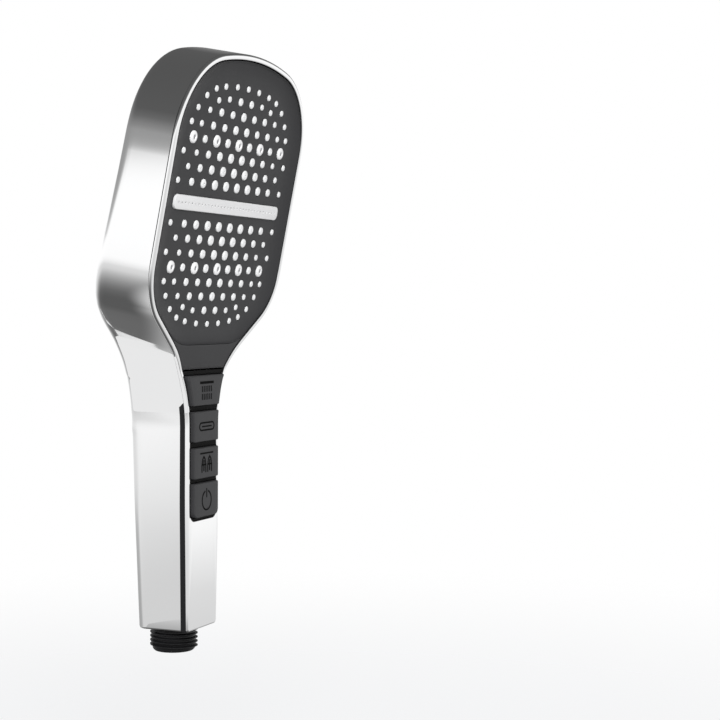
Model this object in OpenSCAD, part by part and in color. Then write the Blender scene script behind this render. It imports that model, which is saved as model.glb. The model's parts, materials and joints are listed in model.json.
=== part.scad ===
// Handheld shower head with a paddle face, three spray modes and a stop key.
// Origin: middle of the hose thread's end face. +Z runs up the handle, the spray leaves towards -Y.

/* [Handle] */
// Width of the grip
handle_w = 28; // [26:0.5:32]
// Width of the handle at its lower end
foot_w = 25.8; // [24:0.1:28]
// Distance of the grip's front from the hose axis
handle_front = 14.5; // [13.5:0.5:16]
// Distance of the grip's back from the hose axis, where it is thickest
handle_back = 15; // [14:0.5:17]
// Distance of the back from the hose axis at the lower end
foot_back = 12; // [11.5:0.5:14]
// Height of the handle's lower end above the hose washer face
foot_z = 10.5; // [10:0.5:12]
// Height of the bend between the handle and the head
bend_z = 123.9; // [120:0.1:128]

/* [Head] */
// Forward lean of the head, in degrees
tilt = 11.2; // [5:0.1:15]
// Distance from the bend to the middle of the blade bar, along the face
bar_up = 71.1; // [68:0.1:74]
// Depth of the head from its front rim to its back
head_depth = 24.5; // [24:0.5:28]
// Width of the opening that the face plate fills
plate_w = 116.2; // [112:0.2:120]
// Top of that opening above the blade bar
plate_top = 63.3; // [61:0.1:66]
// Width of the bright rim round the plate
rim_w = 2.4; // [2:0.1:3]

/* [Keys] */
// How far a key stands out of the bezel
key_rise = 1.6; // [1:0.1:2]
// How far a key can be pressed
key_travel = 2.5; // [1.5:0.1:2.5]
// Gap between a key and its frame
key_gap = 0.35; // [0.3:0.05:0.5]

/* [Nozzles] */
// Spacing of the nozzles along a row
nozzle_pitch = 10.35; // [10:0.05:10.4]
// Spacing of the rows
row_pitch = 6.09; // [5.9:0.01:6.1]
// Distance of the first row from the middle of the bar
first_row = 8.76; // [8.6:0.01:9]
// Outer diameter of the ring nozzles
ring_d = 5.3; // [5:0.1:5.5]

/* [Hose connection] */
// Outer diameter of the hose thread
thread_d = 20.955; // [20.6:0.005:20.955]
// Pitch of the hose thread
thread_pitch = 1.814; // [1.8:0.001:1.82]

/* [Hidden] */
$fn = 48;

chrome = "gainsboro";
dark = "dimgray";
black = "black";
soft = "whitesmoke";
inner = "lightsteelblue";
steel = "silver";
seal = "saddlebrown";

// Plate opening: crown, corner, lower corner, straight shoulder and hollow neck curve
plate_hw = plate_w / 2;
crown_r = 150;
corner_r = 35.3;
lower_r = 26;
lower_v = -26.4;
shoulder_a = 55;
neck_r = 45;
key_field_hw = 12.4;
key_field_bottom = 58.3;
key_field_r = 4;
strip_y = [-12.9, -10.3];
strip_deep = 1;
strip_top = 110;
strip_slope = 2;
head_seam = 1.1;
spigot_w = -5;
wall = 2.2;
rebate_wall = 1.2;
side_wall = 1.8;
head_edge_r = 4.5;
handle_edge_r = 5;
front_edge_r = 1.5;
grip_z = 98;
face_v = bend_z + bar_up;
back_lean = atan((handle_back - foot_back) / (grip_z - foot_z));
sheet_in = -7.2;
chamber_foot = -58.5;

// Depths in the head, measured from the front rim
floor_w = -2.4;
lip_w = -0.3;
plate_back_w = -4;
sheet_back_w = -5.5;
nub_w = -1.7;
diffuser_w = [-7.6, -5.6];
chamber_wall_w = -12.1;
gasket_w = -12.9;
chamber_back_w = [-14.9, -12.9];
manifold_w = [-21.6, -15];
manifold_bore_w = (manifold_w[0] + manifold_w[1]) / 2;
clear = 0.1;

// Keys: lower and upper height of each, from the top key down
key_z = [[108.3, 121.5], [92.6, 105.8], [76.6, 90], [59.7, 74.6]];
key_face_y = -handle_front - key_rise;
key_back_y = -12;
flange_y = -10.8;
flange_lip = 0.75;
flange_hw = 10.6;
flange_edge = 0.6;
pocket_hw = 11.4;
pocket_back_y = -8;
frame_face_y = -14.1;
frame_back_y = -12.35;
skirt_y = -9;
plunger_r = 3.15;
bore_r = 3.2;
plunger_y = [-12.1, 0.5];
bore_end_y = 7.4;
latch_y = [-7.3, -6.1];
latch_travel = 1.5;
latch_z = [62.3, 118.6];
block_y = [-7.6, 11.3];
block_hw = 10.8;
block_z0 = 55.5;
channel_u = 7.3;

// Inlet
thread_root_d = thread_d - 2.324;
connector_top = 36;
clip_z = [12.8, 14];
core_z = [24, block_z0 - clear];

// Nozzle sizes and rows, counted out from the bar: [columns from the middle, diameter, drop]
xl = 4.3;
lg = 3.9;
md = 3.4;
sm = 2.7;
nozzle_rows = [
    [[0.5, xl, 0], [1.5, xl, 0], [2.5, lg, 0], [3.5, md, 0], [4.63, sm, 0]],
    [[0, xl, 0], [1, xl, 0], [2, lg, 0], [3, md, 0], [4, sm, 0]],
    [[0.5, xl, 0], [1.5, lg, 0], [2.5, md, 0], [3.5, sm, 0], [4.59, sm, 0]],
    [[0, ring_d, 0], [1, lg, 0], [2, ring_d, 0], [3, md, 0], [4, ring_d, 0]],
    [[0.5, lg, 0], [1.5, md, 0], [2.5, md, 0], [3.5, sm, 0], [4.34, sm, 0]],
    [[0, lg, 0], [1, md, 0], [2, md, 0], [3, sm, 0], [4, sm, 0]],
    [[0.5, md, 0], [1.5, sm, 0], [2.4, sm, 1.4], [3.46, sm, 0.5]],
    [[0, sm, 0], [1, sm, 0.3], [2, sm, 1.3], [2.78, sm, 3]]
];
spots = [for (row = [0:len(nozzle_rows) - 1]) for (c = nozzle_rows[row])
         for (s = c[0] == 0 ? [1] : [-1, 1])
         [s * c[0] * nozzle_pitch, first_row + row * row_pitch - c[2], c[1]]];
soft_spots = [for (s = spots) if (s[2] < ring_d) s];
ring_spots = [for (s = spots) if (s[2] == ring_d) s];
jet_d = 1;
nub_gap = 0.5;
bar_size = [97.4, 6.2];
bar_r = 2.6;
bar_w = -1.5;
bar_holes = 32;
bar_hole_d = 0.8;
bar_hole_pitch = 2.93;

// Screws in the head, as [across, up] from the blade bar
face_screw_spots = [for (s = [-1, 1]) each [[s * 53.1, 12], [s * 53.1, -20], [s * 16, 57.4], [s * 37.1, -48.5]]];
valve_screw_spots = [for (x = [-8, 8], z = [59.8, 75.2]) [x, z]];
valve_screw_end = 12.6;
screw_r = 0.9;
pilot_r = 0.95;
screw_head_r = 1.9;

// --- Shared geometry -------------------------------------------------------

// Points of an arc about c, leaving out the first where skip is 1
function arc_points(c, r, a0, a1, n, skip = 0) =
    [for (i = [skip:n]) let (a = a0 + (a1 - a0) * i / n) c + r * [cos(a), sin(a)]];

// Right half of the front outline, e outside the plate opening and hw wide at the grip
function half_outline(e, hw) =
    let (crown_c = [0, plate_top - crown_r],
         corner_x = plate_hw - corner_r,
         corner_c = [corner_x, crown_c.y + sqrt(pow(crown_r - corner_r, 2) - pow(corner_x, 2))],
         crown_a = atan2(corner_c.y - crown_c.y, corner_c.x),
         lower_c = [plate_hw - lower_r, lower_v],
         n = [cos(shoulder_a), -sin(shoulder_a)],
         start = lower_c + (lower_r + e) * n,
         r = neck_r - e,
         run = (start.x - hw - r * (1 - n.x)) / sin(shoulder_a),
         neck_c = [hw + r, start.y - run * cos(shoulder_a) + r * n.y])
    concat(arc_points(crown_c, crown_r + e, 90, crown_a, 4),
           arc_points(corner_c, corner_r + e, crown_a, 0, 10, 1),
           arc_points(lower_c, lower_r + e, 0, -shoulder_a, 6),
           arc_points(neck_c, r, 180 - shoulder_a, 180, 8));

function mirrored(half) = concat(half, [for (i = [len(half) - 1:-1:0]) if (half[i].x > 0) [-half[i].x, half[i].y]]);

// Side view position of a point v up the face and w out of the front rim's plane
function head_point(v, w) =
    [-handle_front - (bar_up + v) * sin(tilt) - w * cos(tilt), bend_z + (bar_up + v) * cos(tilt) - w * sin(tilt)];

// Outline of the opening for the plate and the keys, e larger
module opening_2d(e = 0) {
    grip = key_field_hw + e;
    bottom = key_field_bottom - e - face_v;
    r = key_field_r + e;
    polygon(mirrored(concat(half_outline(e, grip), arc_points([grip - r, bottom + r], r, 0, -90, 5))));
}

// Outline of the whole body from the front, inset by a wall
module outer_2d(inset = 0, side_inset = 0) {
    grip = handle_w / 2 - side_inset;
    foot = foot_w / 2 - side_inset;
    polygon(mirrored(concat(half_outline(rim_w - inset, grip), [[grip, -130], [foot, foot_z - face_v - 1]])));
}

module above(v) { translate([-100, v]) square([200, 200]); }
module below(v) { translate([-100, v - 200]) square([200, 200]); }

module head_frame() {
    p = head_point(0, 0);
    translate([0, p.x, p.y]) rotate([90 + tilt, 0, 0]) children();
}
// A flat shape in the head's own plane, between two depths
module head_slab(w0, w1) { head_frame() translate([0, 0, w0]) linear_extrude(w1 - w0) children(); }
// The same for the handle's upright plane, between two distances from the hose axis
module handle_slab(y0, y1) { translate([0, y1, face_v]) rotate([90, 0, 0]) linear_extrude(y1 - y0) children(); }
// A side view shape swept across the body
module across(width) { rotate([90, 0, 90]) linear_extrude(width, center = true) children(); }
// A round part along the front to back direction, profile given as [radius, y]
module lathe_y() { rotate([-90, 0, 0]) rotate_extrude() children(); }

// Side view of the whole body
module side_2d() {
    top = plate_top + rim_w;
    r = head_edge_r;
    polygon(concat([[-handle_front + 0.5, foot_z], [-handle_front, 60], [-handle_front, bend_z], head_point(top, 0)],
                   [for (a = [0:15:90]) head_point(top - r + r * cos(a), -head_depth + r - r * sin(a))],
                   [head_point(-95, -head_depth), [handle_back, grip_z], [foot_back, foot_z]]));
}

// Everything in front of the seam between bezel and shell
module seam_2d() {
    far = -80;
    polygon([[far, 0], [strip_y[0], 0], [strip_y[0], bend_z - 6], head_point(-bar_up, -head_seam),
             head_point(plate_top + 10, -head_seam), [far, 300]]);
}

// Outer body, or the space inside it when inset by the wall
module body_solid(inset = 0, side_inset = 0) {
    head_hw = plate_hw + rim_w - inset;
    r_head = head_edge_r - inset / 2;
    r_back = handle_edge_r - inset / 2;
    hw = handle_w / 2 - side_inset;
    intersection() {
        across(200) offset(delta = -inset) side_2d();
        union() {
            intersection() {
                head_slab(-40, 5) intersection() {
                    outer_2d(inset, side_inset);
                    above(-86);
                }
                head_frame() rotate([-90, 0, 0]) translate([0, 0, -90]) linear_extrude(180)
                    polygon(mirrored(concat(
                        arc_points([head_hw - r_head, head_depth - inset - r_head], r_head, 90, 0, 6),
                        [[head_hw, 0.7], [head_hw - 0.7, 0], [head_hw - 0.7, -5]])));
            }
            intersection() {
                handle_slab(-20, 20) intersection() {
                    outer_2d(inset, side_inset);
                    below(-bar_up);
                }
                translate([0, handle_back - inset, grip_z]) rotate([-back_lean, 0, 0])
                    translate([0, 0, -100]) linear_extrude(140)
                    polygon(mirrored(concat(arc_points([hw - r_back, -r_back], r_back, 90, 0, 6), [[hw, -50]])));
                linear_extrude(200)
                    polygon(mirrored(concat([[hw, 20]],
                        arc_points([hw - front_edge_r, front_edge_r - handle_front], front_edge_r, 0, -90, 4))));
            }
        }
    }
}

// Space that the strips lie in, on both sides
module strip_zone() {
    intersection() {
        handle_slab(strip_y[0], strip_y[1]) difference() {
            outer_2d();
            outer_2d(strip_deep, strip_deep);
        }
        across(100) polygon([[strip_y[0], foot_z], [strip_y[1], foot_z], [strip_y[1], strip_top - strip_slope],
                             [strip_y[0], strip_top]]);
    }
}

module key_2d(i, e = 0) {
    lower = key_z[i][0] - e - face_v;
    intersection() {
        opening_2d(e - 1.35);
        translate([-30, lower]) square([60, key_z[i][1] - key_z[i][0] + 2 * e]);
    }
}

function key_mid(i) = (key_z[i][0] + key_z[i][1]) / 2;

module screw(r, length, head_r, head_h) {
    translate([0, 0, -length]) cylinder(r = r, h = length);
    difference() {
        cylinder(r = head_r, h = head_h);
        for (a = [0, 90]) rotate(a) translate([-head_r * 0.6, -0.25, head_h - 0.6]) cube([head_r * 1.2, 0.5, 1]);
    }
}

// --- Casing ----------------------------------------------------------------

module rear_shell() {
    hole_r = 9.35;
    color(chrome) difference() {
        union() {
            difference() {
                body_solid();
                across(200) seam_2d();
                body_solid(wall, side_wall);
                // Rebate for the bezel's spigot, and the open front of the handle
                head_slab(spigot_w - clear, 5) intersection() {
                    outer_2d(rebate_wall);
                    above(-50);
                }
                head_slab(-8, 5) intersection() {
                    outer_2d(wall, side_wall);
                    above(-80);
                }
                handle_slab(-20, -8) intersection() {
                    outer_2d(wall, side_wall);
                    below(-66);
                    above(foot_z + wall - face_v);
                }
                strip_zone();
            }
            // Bosses for the head's screws and the valve block's screws
            for (s = face_screw_spots) head_frame() translate([s.x, s.y, -head_depth + 1])
                cylinder(r = 3, h = head_depth - 1 + chamber_back_w[0]);
            for (s = valve_screw_spots) translate([s.x, block_y[1], s.y]) rotate([-90, 0, 0])
                cylinder(r = 2.2, h = valve_screw_end - block_y[1]);
        }
        translate([0, 0, foot_z - 1]) cylinder(r = hole_r, h = 5);
        for (s = face_screw_spots) head_frame() translate([s.x, s.y, chamber_back_w[0] - 7])
            cylinder(r = pilot_r, h = 8);
        for (s = valve_screw_spots) translate([s.x, block_y[1] - 1, s.y]) rotate([-90, 0, 0])
            cylinder(r = pilot_r, h = valve_screw_end - block_y[1] + 1.2);
    }
}

module front_bezel() {
    spigot = 1;
    color(chrome) difference() {
        union() {
            intersection() {
                body_solid();
                across(200) seam_2d();
            }
            // Spigot that centres the rim inside the shell
            head_slab(spigot_w, -head_seam + 0.2) intersection() {
                difference() {
                    outer_2d(rebate_wall + clear);
                    outer_2d(rebate_wall + clear + spigot);
                }
                above(-50);
            }
        }
        head_slab(-10, 5) intersection() {
            opening_2d();
            above(-bar_up - 0.5);
        }
        handle_slab(-20, -8) intersection() {
            opening_2d();
            below(-bar_up + 0.5);
        }
    }
}

module trim_strip(side) {
    color(black) intersection() {
        strip_zone();
        translate([side > 0 ? 5 : -45, -30, 0]) cube([40, 60, 200]);
    }
}

// --- Spray face ------------------------------------------------------------

module rounded_bar(size, r) {
    for (x = [-1, 1], y = [-1, 1]) translate([x * (size.x / 2 - r), y * (size.y / 2 - r)]) circle(r);
    square([size.x, size.y - 2 * r], center = true);
    square([size.x - 2 * r, size.y], center = true);
}

module spots_2d(list, grow) {
    for (s = list, m = [-1, 1]) translate([s.x, m * s.y]) circle(d = s[2] + grow);
}

module holes_2d(list, d) {
    for (s = list, m = [-1, 1]) translate([s.x, m * s.y]) circle(d = d, $fn = 24);
}

module face_plate() {
    edge = -0.5;
    neck_v = -60;
    steps = 3;
    step_in = 3;
    color(dark) {
        difference() {
            union() {
                head_slab(plate_back_w, floor_w) intersection() {
                    opening_2d(edge);
                    above(-bar_up + 0.3);
                }
                // The edge climbs to the rim in steps, and the neck is flat at rim height
                for (i = [1:steps]) head_slab(floor_w - 0.5, floor_w + i * (lip_w - floor_w) / steps) intersection() {
                    difference() {
                        opening_2d(edge);
                        difference() {
                            opening_2d(edge - step_in * (steps + 1 - i));
                            below(neck_v);
                        }
                    }
                    above(-bar_up + 0.3);
                }
                // Skirt behind the edge
                head_slab(diffuser_w[0], plate_back_w + 0.2) intersection() {
                    difference() {
                        opening_2d(edge);
                        opening_2d(edge - 1.7);
                    }
                    above(-55);
                }
            }
            head_slab(plate_back_w - 1, 0) spots_2d(spots, nub_gap);
            head_slab(plate_back_w - 1, 0) rounded_bar(bar_size + [nub_gap, nub_gap], bar_r + nub_gap / 2);
        }
    }
}

module nozzle_sheet(m) {
    color(soft) difference() {
        union() {
            head_slab(sheet_back_w, plate_back_w - clear) intersection() {
                opening_2d(sheet_in);
                if (m > 0) above(bar_size.y / 2 + 1.8); else below(-bar_size.y / 2 - 1.8);
                above(-57);
            }
            head_slab(sheet_back_w, nub_w) intersection() {
                spots_2d(soft_spots, 0);
                if (m > 0) above(0); else below(0);
            }
        }
        head_slab(-10, 0) holes_2d(soft_spots, jet_d);
        head_slab(-10, 0) spots_2d(ring_spots, 0.3);
    }
}

module massage_nozzles() {
    recess_d = 2.4;
    recess_w = -2.6;
    color(soft) difference() {
        head_slab(sheet_back_w, nub_w + 0.2) spots_2d(ring_spots, 0);
        head_slab(recess_w, 0) holes_2d(ring_spots, recess_d);
        head_slab(-10, 0) holes_2d(ring_spots, jet_d);
    }
}

module blade_bar() {
    color(soft) difference() {
        union() {
            head_slab(sheet_back_w, bar_w) rounded_bar(bar_size, bar_r);
            head_slab(sheet_back_w, plate_back_w - clear) square(bar_size + [2, 3], center = true);
        }
        head_slab(-10, 0) for (i = [0:bar_holes - 1])
            translate([(i - (bar_holes - 1) / 2) * bar_hole_pitch, 0]) circle(d = bar_hole_d, $fn = 16);
    }
}

// --- Water chambers in the head ---------------------------------------------

// Walls that part the rain, massage and blade chambers
module chamber_walls_2d(thick) {
    massage_v = first_row + 3 * row_pitch;
    walls = [5, massage_v - 4.2, massage_v + 4.2];
    edge = sheet_in + 0.2;
    difference() {
        intersection() {
            opening_2d(edge);
            above(chamber_foot);
        }
        difference() {
            intersection() {
                opening_2d(edge - thick);
                above(chamber_foot + thick);
            }
            for (v = walls, m = [-1, 1]) translate([0, m * v]) square([200, thick], center = true);
        }
    }
}

module chamber_plate_2d() {
    intersection() {
        opening_2d(-3);
        above(-61);
    }
}

module diffuser_plate() {
    color(inner) difference() {
        union() {
            head_slab(diffuser_w[0], diffuser_w[1]) chamber_plate_2d();
            head_slab(chamber_wall_w, diffuser_w[0] + 0.2) chamber_walls_2d(1);
        }
        head_slab(-8, -5) holes_2d(spots, 1.4);
        head_slab(-8, -5) square([bar_size.x - 6, 1.6], center = true);
        head_slab(-8, -5) for (s = face_screw_spots) translate([s.x, s.y]) circle(pilot_r + 0.2);
    }
}

module chamber_gasket() {
    color(seal) head_slab(gasket_w, chamber_wall_w) chamber_walls_2d(0.8);
}

// Ports from the manifold: rain, blade and massage, as [across, up]
function port_spots() = [[0, 15], [-channel_u, 0], [channel_u, first_row + 3 * row_pitch]];

module chamber_back() {
    color(inner) difference() {
        head_slab(chamber_back_w[0], chamber_back_w[1]) chamber_plate_2d();
        for (p = port_spots()) head_frame() translate([p.x, p.y, -16]) cylinder(r = 1.9, h = 5);
        for (s = face_screw_spots) head_frame() translate([s.x, s.y, -16]) cylinder(r = pilot_r + 0.2, h = 5);
    }
}

module neck_manifold() {
    v0 = -75.5;
    v1 = first_row + 3 * row_pitch + 6;
    spigot_len = 4;
    color(inner) difference() {
        union() {
            head_frame() translate([-block_hw, v0, manifold_w[0]])
                cube([2 * block_hw, v1 - v0, manifold_w[1] - manifold_w[0]]);
            for (p = port_spots()) head_frame() translate([p.x, v0 + 1, manifold_bore_w]) rotate([90, 0, 0])
                cylinder(r = 2.9, h = 1 + spigot_len);
        }
        for (p = port_spots()) head_frame() {
            translate([p.x, p.y, manifold_bore_w]) rotate([90, 0, 0]) cylinder(r = 1.9, h = 110);
            translate([p.x, p.y, manifold_bore_w]) cylinder(r = 1.9, h = 10);
        }
    }
}

// --- Keys and valves ---------------------------------------------------------

module key_frame() {
    color(black) difference() {
        union() {
            handle_slab(frame_face_y, strip_y[0]) intersection() {
                opening_2d(-0.15);
                below(-bar_up - 0.3);
            }
            handle_slab(strip_y[0], skirt_y) intersection() {
                outer_2d(wall + clear, side_wall + clear);
                opening_2d(0.4);
                below(-bar_up - 1.5);
            }
        }
        for (i = [0:3]) handle_slab(-20, pocket_back_y) key_2d(i, key_gap);
        handle_slab(frame_back_y, pocket_back_y) intersection() {
            opening_2d(key_gap - flange_edge);
            translate([-pocket_hw, key_z[3][0] - 1.2 - face_v])
                square([2 * pocket_hw, key_z[0][1] - key_z[3][0] + 2.4]);
        }
    }
}

module key(i) {
    socket_r = 3.15;
    mid = key_mid(i);
    color(dark) difference() {
        union() {
            handle_slab(key_face_y, key_back_y) key_2d(i);
            handle_slab(key_back_y, flange_y) intersection() {
                opening_2d(-flange_edge);
                translate([-flange_hw, key_z[i][0] - flange_lip - face_v])
                    square([2 * flange_hw, key_z[i][1] - key_z[i][0] + 2 * flange_lip]);
            }
        }
        translate([0, plunger_y[0] - 0.1, mid]) rotate([-90, 0, 0]) cylinder(r = socket_r, h = 5);
    }
}

// Sliding valve rod with a latch groove and two seal grooves
module plunger(i) {
    groove_r = 1.9;
    latch_groove_r = 2.6;
    head_r = 3.1;
    color("goldenrod") translate([0, 0, key_mid(i)]) lathe_y() polygon([
        [0, plunger_y[0]], [head_r, plunger_y[0]], [head_r, -9.7], [latch_groove_r, -9.7],
        [latch_groove_r, -8.2], [plunger_r, -8.2], [plunger_r, -4.8], [groove_r, -4.8], [groove_r, -3.5],
        [plunger_r, -3.5], [plunger_r, -2.1], [groove_r, -2.1], [groove_r, -0.8], [plunger_r, -0.8],
        [plunger_r, plunger_y[1]], [0, plunger_y[1]]]);
}

module plunger_seals(i) {
    color(seal) for (y = [-4.15, -1.45]) translate([0, y, key_mid(i)]) lathe_y()
        translate([2.53, 0]) circle(r = 0.6, $fn = 24);
}

module key_spring(i) {
    color(steel) translate([0, 0, key_mid(i)]) lathe_y()
        polygon([[2, plunger_y[1] + clear], [2.6, plunger_y[1] + clear], [2.6, bore_end_y - clear],
                 [2, bore_end_y - clear]]);
}

module valve_block() {
    recess_y = latch_y[1] + 0.3;
    color(inner) difference() {
        intersection() {
            translate([-block_hw, block_y[0], block_z0])
                cube([2 * block_hw, block_y[1] - block_y[0], 80]);
            head_frame() translate([-50, -200 - 75.6, -60]) cube([100, 200, 100]);
            body_solid(wall + clear, side_wall + clear);
        }
        for (i = [0:3]) translate([0, block_y[0] - 1, key_mid(i)]) rotate([-90, 0, 0])
            cylinder(r = bore_r, h = bore_end_y - block_y[0] + 1);
        // Channel for the latch slide and its spring
        translate([-7, block_y[0] - 1, latch_z[0] - latch_travel - 4])
            cube([14, recess_y - block_y[0] + 1, latch_z[1] - latch_z[0] + latch_travel + 4.4]);
        // Main gallery behind the plungers, and the socket for the core tube
        translate([0, 6.2, block_z0 - 1]) cylinder(r = 2.1, h = 62);
        translate([0, 0, block_z0 - 1]) cylinder(r = 4.7, h = 5.5);
        // Passages up to the manifold and their cross holes
        for (p = port_spots()) head_frame() translate([p.x, -70, manifold_bore_w]) rotate([90, 0, 0])
            cylinder(r = 3, h = 10);
        for (s = [[-channel_u, 1], [channel_u, 2]]) {
            translate([s.x, 4.5, key_mid(s.y)]) cylinder(r = 1.6, h = 119 - key_mid(s.y));
            translate([s.x, 4.5, key_mid(s.y)]) rotate([0, s.x > 0 ? -90 : 90, 0]) cylinder(r = 1.4, h = 5);
        }
        for (s = valve_screw_spots) translate([s.x, 0, s.y]) rotate([-90, 0, 0]) {
            translate([0, 0, block_y[0] - 1]) cylinder(r = screw_head_r + 0.2, h = 2.8);
            cylinder(r = screw_r + 0.15, h = 40, center = true);
        }
    }
}

module latch_slide() {
    slot_r = plunger_r + 0.35;
    color(steel) difference() {
        handle_slab(latch_y[0], latch_y[1]) translate([-5.4, latch_z[0] - face_v])
            square([10.8, latch_z[1] - latch_z[0]]);
        for (i = [0:3]) handle_slab(-10, 0) {
            for (d = [0, latch_travel]) translate([0, key_mid(i) + d - face_v]) circle(slot_r);
            translate([-slot_r, key_mid(i) - face_v]) square([2 * slot_r, latch_travel]);
        }
    }
}

module latch_spring() {
    spring_r = 0.55;
    bottom = latch_z[0] - latch_travel - 4 + clear;
    color(steel) translate([0, (latch_y[0] + latch_y[1]) / 2, bottom]) difference() {
        cylinder(r = spring_r, h = latch_z[0] - clear - bottom);
        translate([0, 0, -1]) cylinder(r = spring_r - 0.25, h = 10);
    }
}

module valve_screws() {
    color(steel) for (s = valve_screw_spots) translate([s.x, block_y[0] + 1.8, s.y]) rotate([90, 0, 0])
        screw(screw_r, valve_screw_end - block_y[0] - 1.8, screw_head_r, 1.5);
}

module face_screws() {
    color(steel) for (s = face_screw_spots) head_frame() translate([s.x, s.y, diffuser_w[1]])
        screw(screw_r, 15, screw_head_r, 1.4);
}

// --- Inlet --------------------------------------------------------------------

module inlet_connector() {
    crest = thread_d / 2;
    root = thread_root_d / 2;
    flat = 0.25;
    first = 2.2;
    rows = 4;
    bore = 6;
    top_bore = 4;
    neck = 9.2;
    clip_groove = 8;
    barrel = 8.4;
    groove = 7.2;
    // Ridges with flat tops stand for the thread
    ridges = [for (i = [0:rows]) each [
        [root, first + i * thread_pitch - thread_pitch / 2 + 0.1], [crest, first + i * thread_pitch - flat],
        [crest, first + i * thread_pitch + flat], [root, first + i * thread_pitch + thread_pitch / 2 - 0.1]]];
    color(black) rotate_extrude() polygon(concat(
        [[bore, 0], [root - 0.8, 0], [root - 0.3, 0.7], [root, 0.9]],
        ridges,
        [[neck, foot_z + 0.6], [neck, clip_z[0]], [clip_groove, clip_z[0]], [clip_groove, clip_z[1]],
         [neck, clip_z[1]], [neck, 16], [barrel, 17], [barrel, 27], [groove, 27], [groove, 28.8],
         [barrel, 28.8], [barrel, 31], [groove, 31], [groove, 32.8], [barrel, 32.8], [barrel, connector_top], [top_bore, connector_top], [top_bore, 14.5], [bore, 14.5]]));
}

module connector_seals() {
    color(seal) for (z = [27.9, 31.9]) translate([0, 0, z]) rotate_extrude()
        translate([7.95, 0]) circle(r = 0.72, $fn = 24);
}

module core_tube() {
    socket_r = 8.7;
    spigot_r = 4.6;
    color(inner) rotate_extrude() polygon([
        [socket_r, core_z[0]], [10.2, core_z[0]], [10.2, connector_top + 4], [7, connector_top + 7],
        [7, core_z[1]], [spigot_r, core_z[1]], [spigot_r, core_z[1] + 4.2], [3, core_z[1] + 4.2],
        [3, connector_top + 4], [4, connector_top + 0.3], [socket_r, connector_top + 0.3]]);
}

// Spring clip above the shell's floor that keeps the connector from pulling out
module connector_clip() {
    inner_r = 8.05;
    outer_r = 9.7;
    play = 0.05;
    color(steel) translate([0, 0, clip_z[0] + play]) linear_extrude(clip_z[1] - clip_z[0] - 2 * play) difference() {
        circle(outer_r);
        circle(inner_r);
        translate([-5, -20]) square([10, 20]);
    }
}

module check_valve() {
    color(soft) difference() {
        rotate_extrude() polygon([[0, 4], [5.9, 4], [5.9, 6], [4.6, 6], [4.6, 12], [3.4, 14], [0, 14]]);
        translate([0, 0, 3]) for (a = [0:60:300]) rotate(a) translate([2.4, 0, 0]) cylinder(r = 0.9, h = 12);
    }
}

module inlet_strainer() {
    disc_r = 5.9;
    color(steel) difference() {
        rotate_extrude() polygon([[0, 1.6], [disc_r - 1, 1.6], [disc_r - 1, 0.6], [disc_r, 0.6],
                                  [disc_r, 3], [disc_r - 0.8, 3], [disc_r - 0.8, 2.1], [0, 2.1]]);
        for (ring = [0:2]) for (k = [0:(ring == 0 ? 0 : ring * 6 - 1)]) rotate(ring == 0 ? 0 : k * 60 / ring)
            translate([ring * 1.8, 0, 1]) cylinder(r = 0.6, h = 2, $fn = 16);
    }
}

rear_shell();
front_bezel();
trim_strip(-1);  // trim_strip_left
trim_strip(1);  // trim_strip_right
face_plate();
nozzle_sheet(1);  // nozzle_sheet_upper
nozzle_sheet(-1);  // nozzle_sheet_lower
massage_nozzles();
blade_bar();
diffuser_plate();
chamber_gasket();
chamber_back();
neck_manifold();
valve_block();
key_frame();
key(0);  // key_rain
key(1);  // key_blade
key(2);  // key_massage
key(3);  // key_stop
plunger(0);  // plunger_rain
plunger(1);  // plunger_blade
plunger(2);  // plunger_massage
plunger(3);  // plunger_stop
plunger_seals(0);  // plunger_seals_rain
plunger_seals(1);  // plunger_seals_blade
plunger_seals(2);  // plunger_seals_massage
plunger_seals(3);  // plunger_seals_stop
key_spring(0);  // key_spring_rain
key_spring(1);  // key_spring_blade
key_spring(2);  // key_spring_massage
key_spring(3);  // key_spring_stop
latch_slide();
latch_spring();
core_tube();
inlet_connector();
connector_seals();
check_valve();
inlet_strainer();
connector_clip();
face_screws();
valve_screws();
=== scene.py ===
"""Looks of a handheld shower head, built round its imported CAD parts.

Every length is in metres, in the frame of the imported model: +Z runs up the handle, the spray
face looks towards -Y and X is the width. Pieces on the spray face are made in its own plane,
with x across, v up the face and w out of the rim, and are then stood up by Stance.face_matrix.
"""

import sys

import json
import logging
import math
from collections.abc import Callable
from dataclasses import dataclass, field
from enum import Enum

import bmesh
import bpy
import numpy as np
from mathutils import Matrix, Vector

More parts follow.
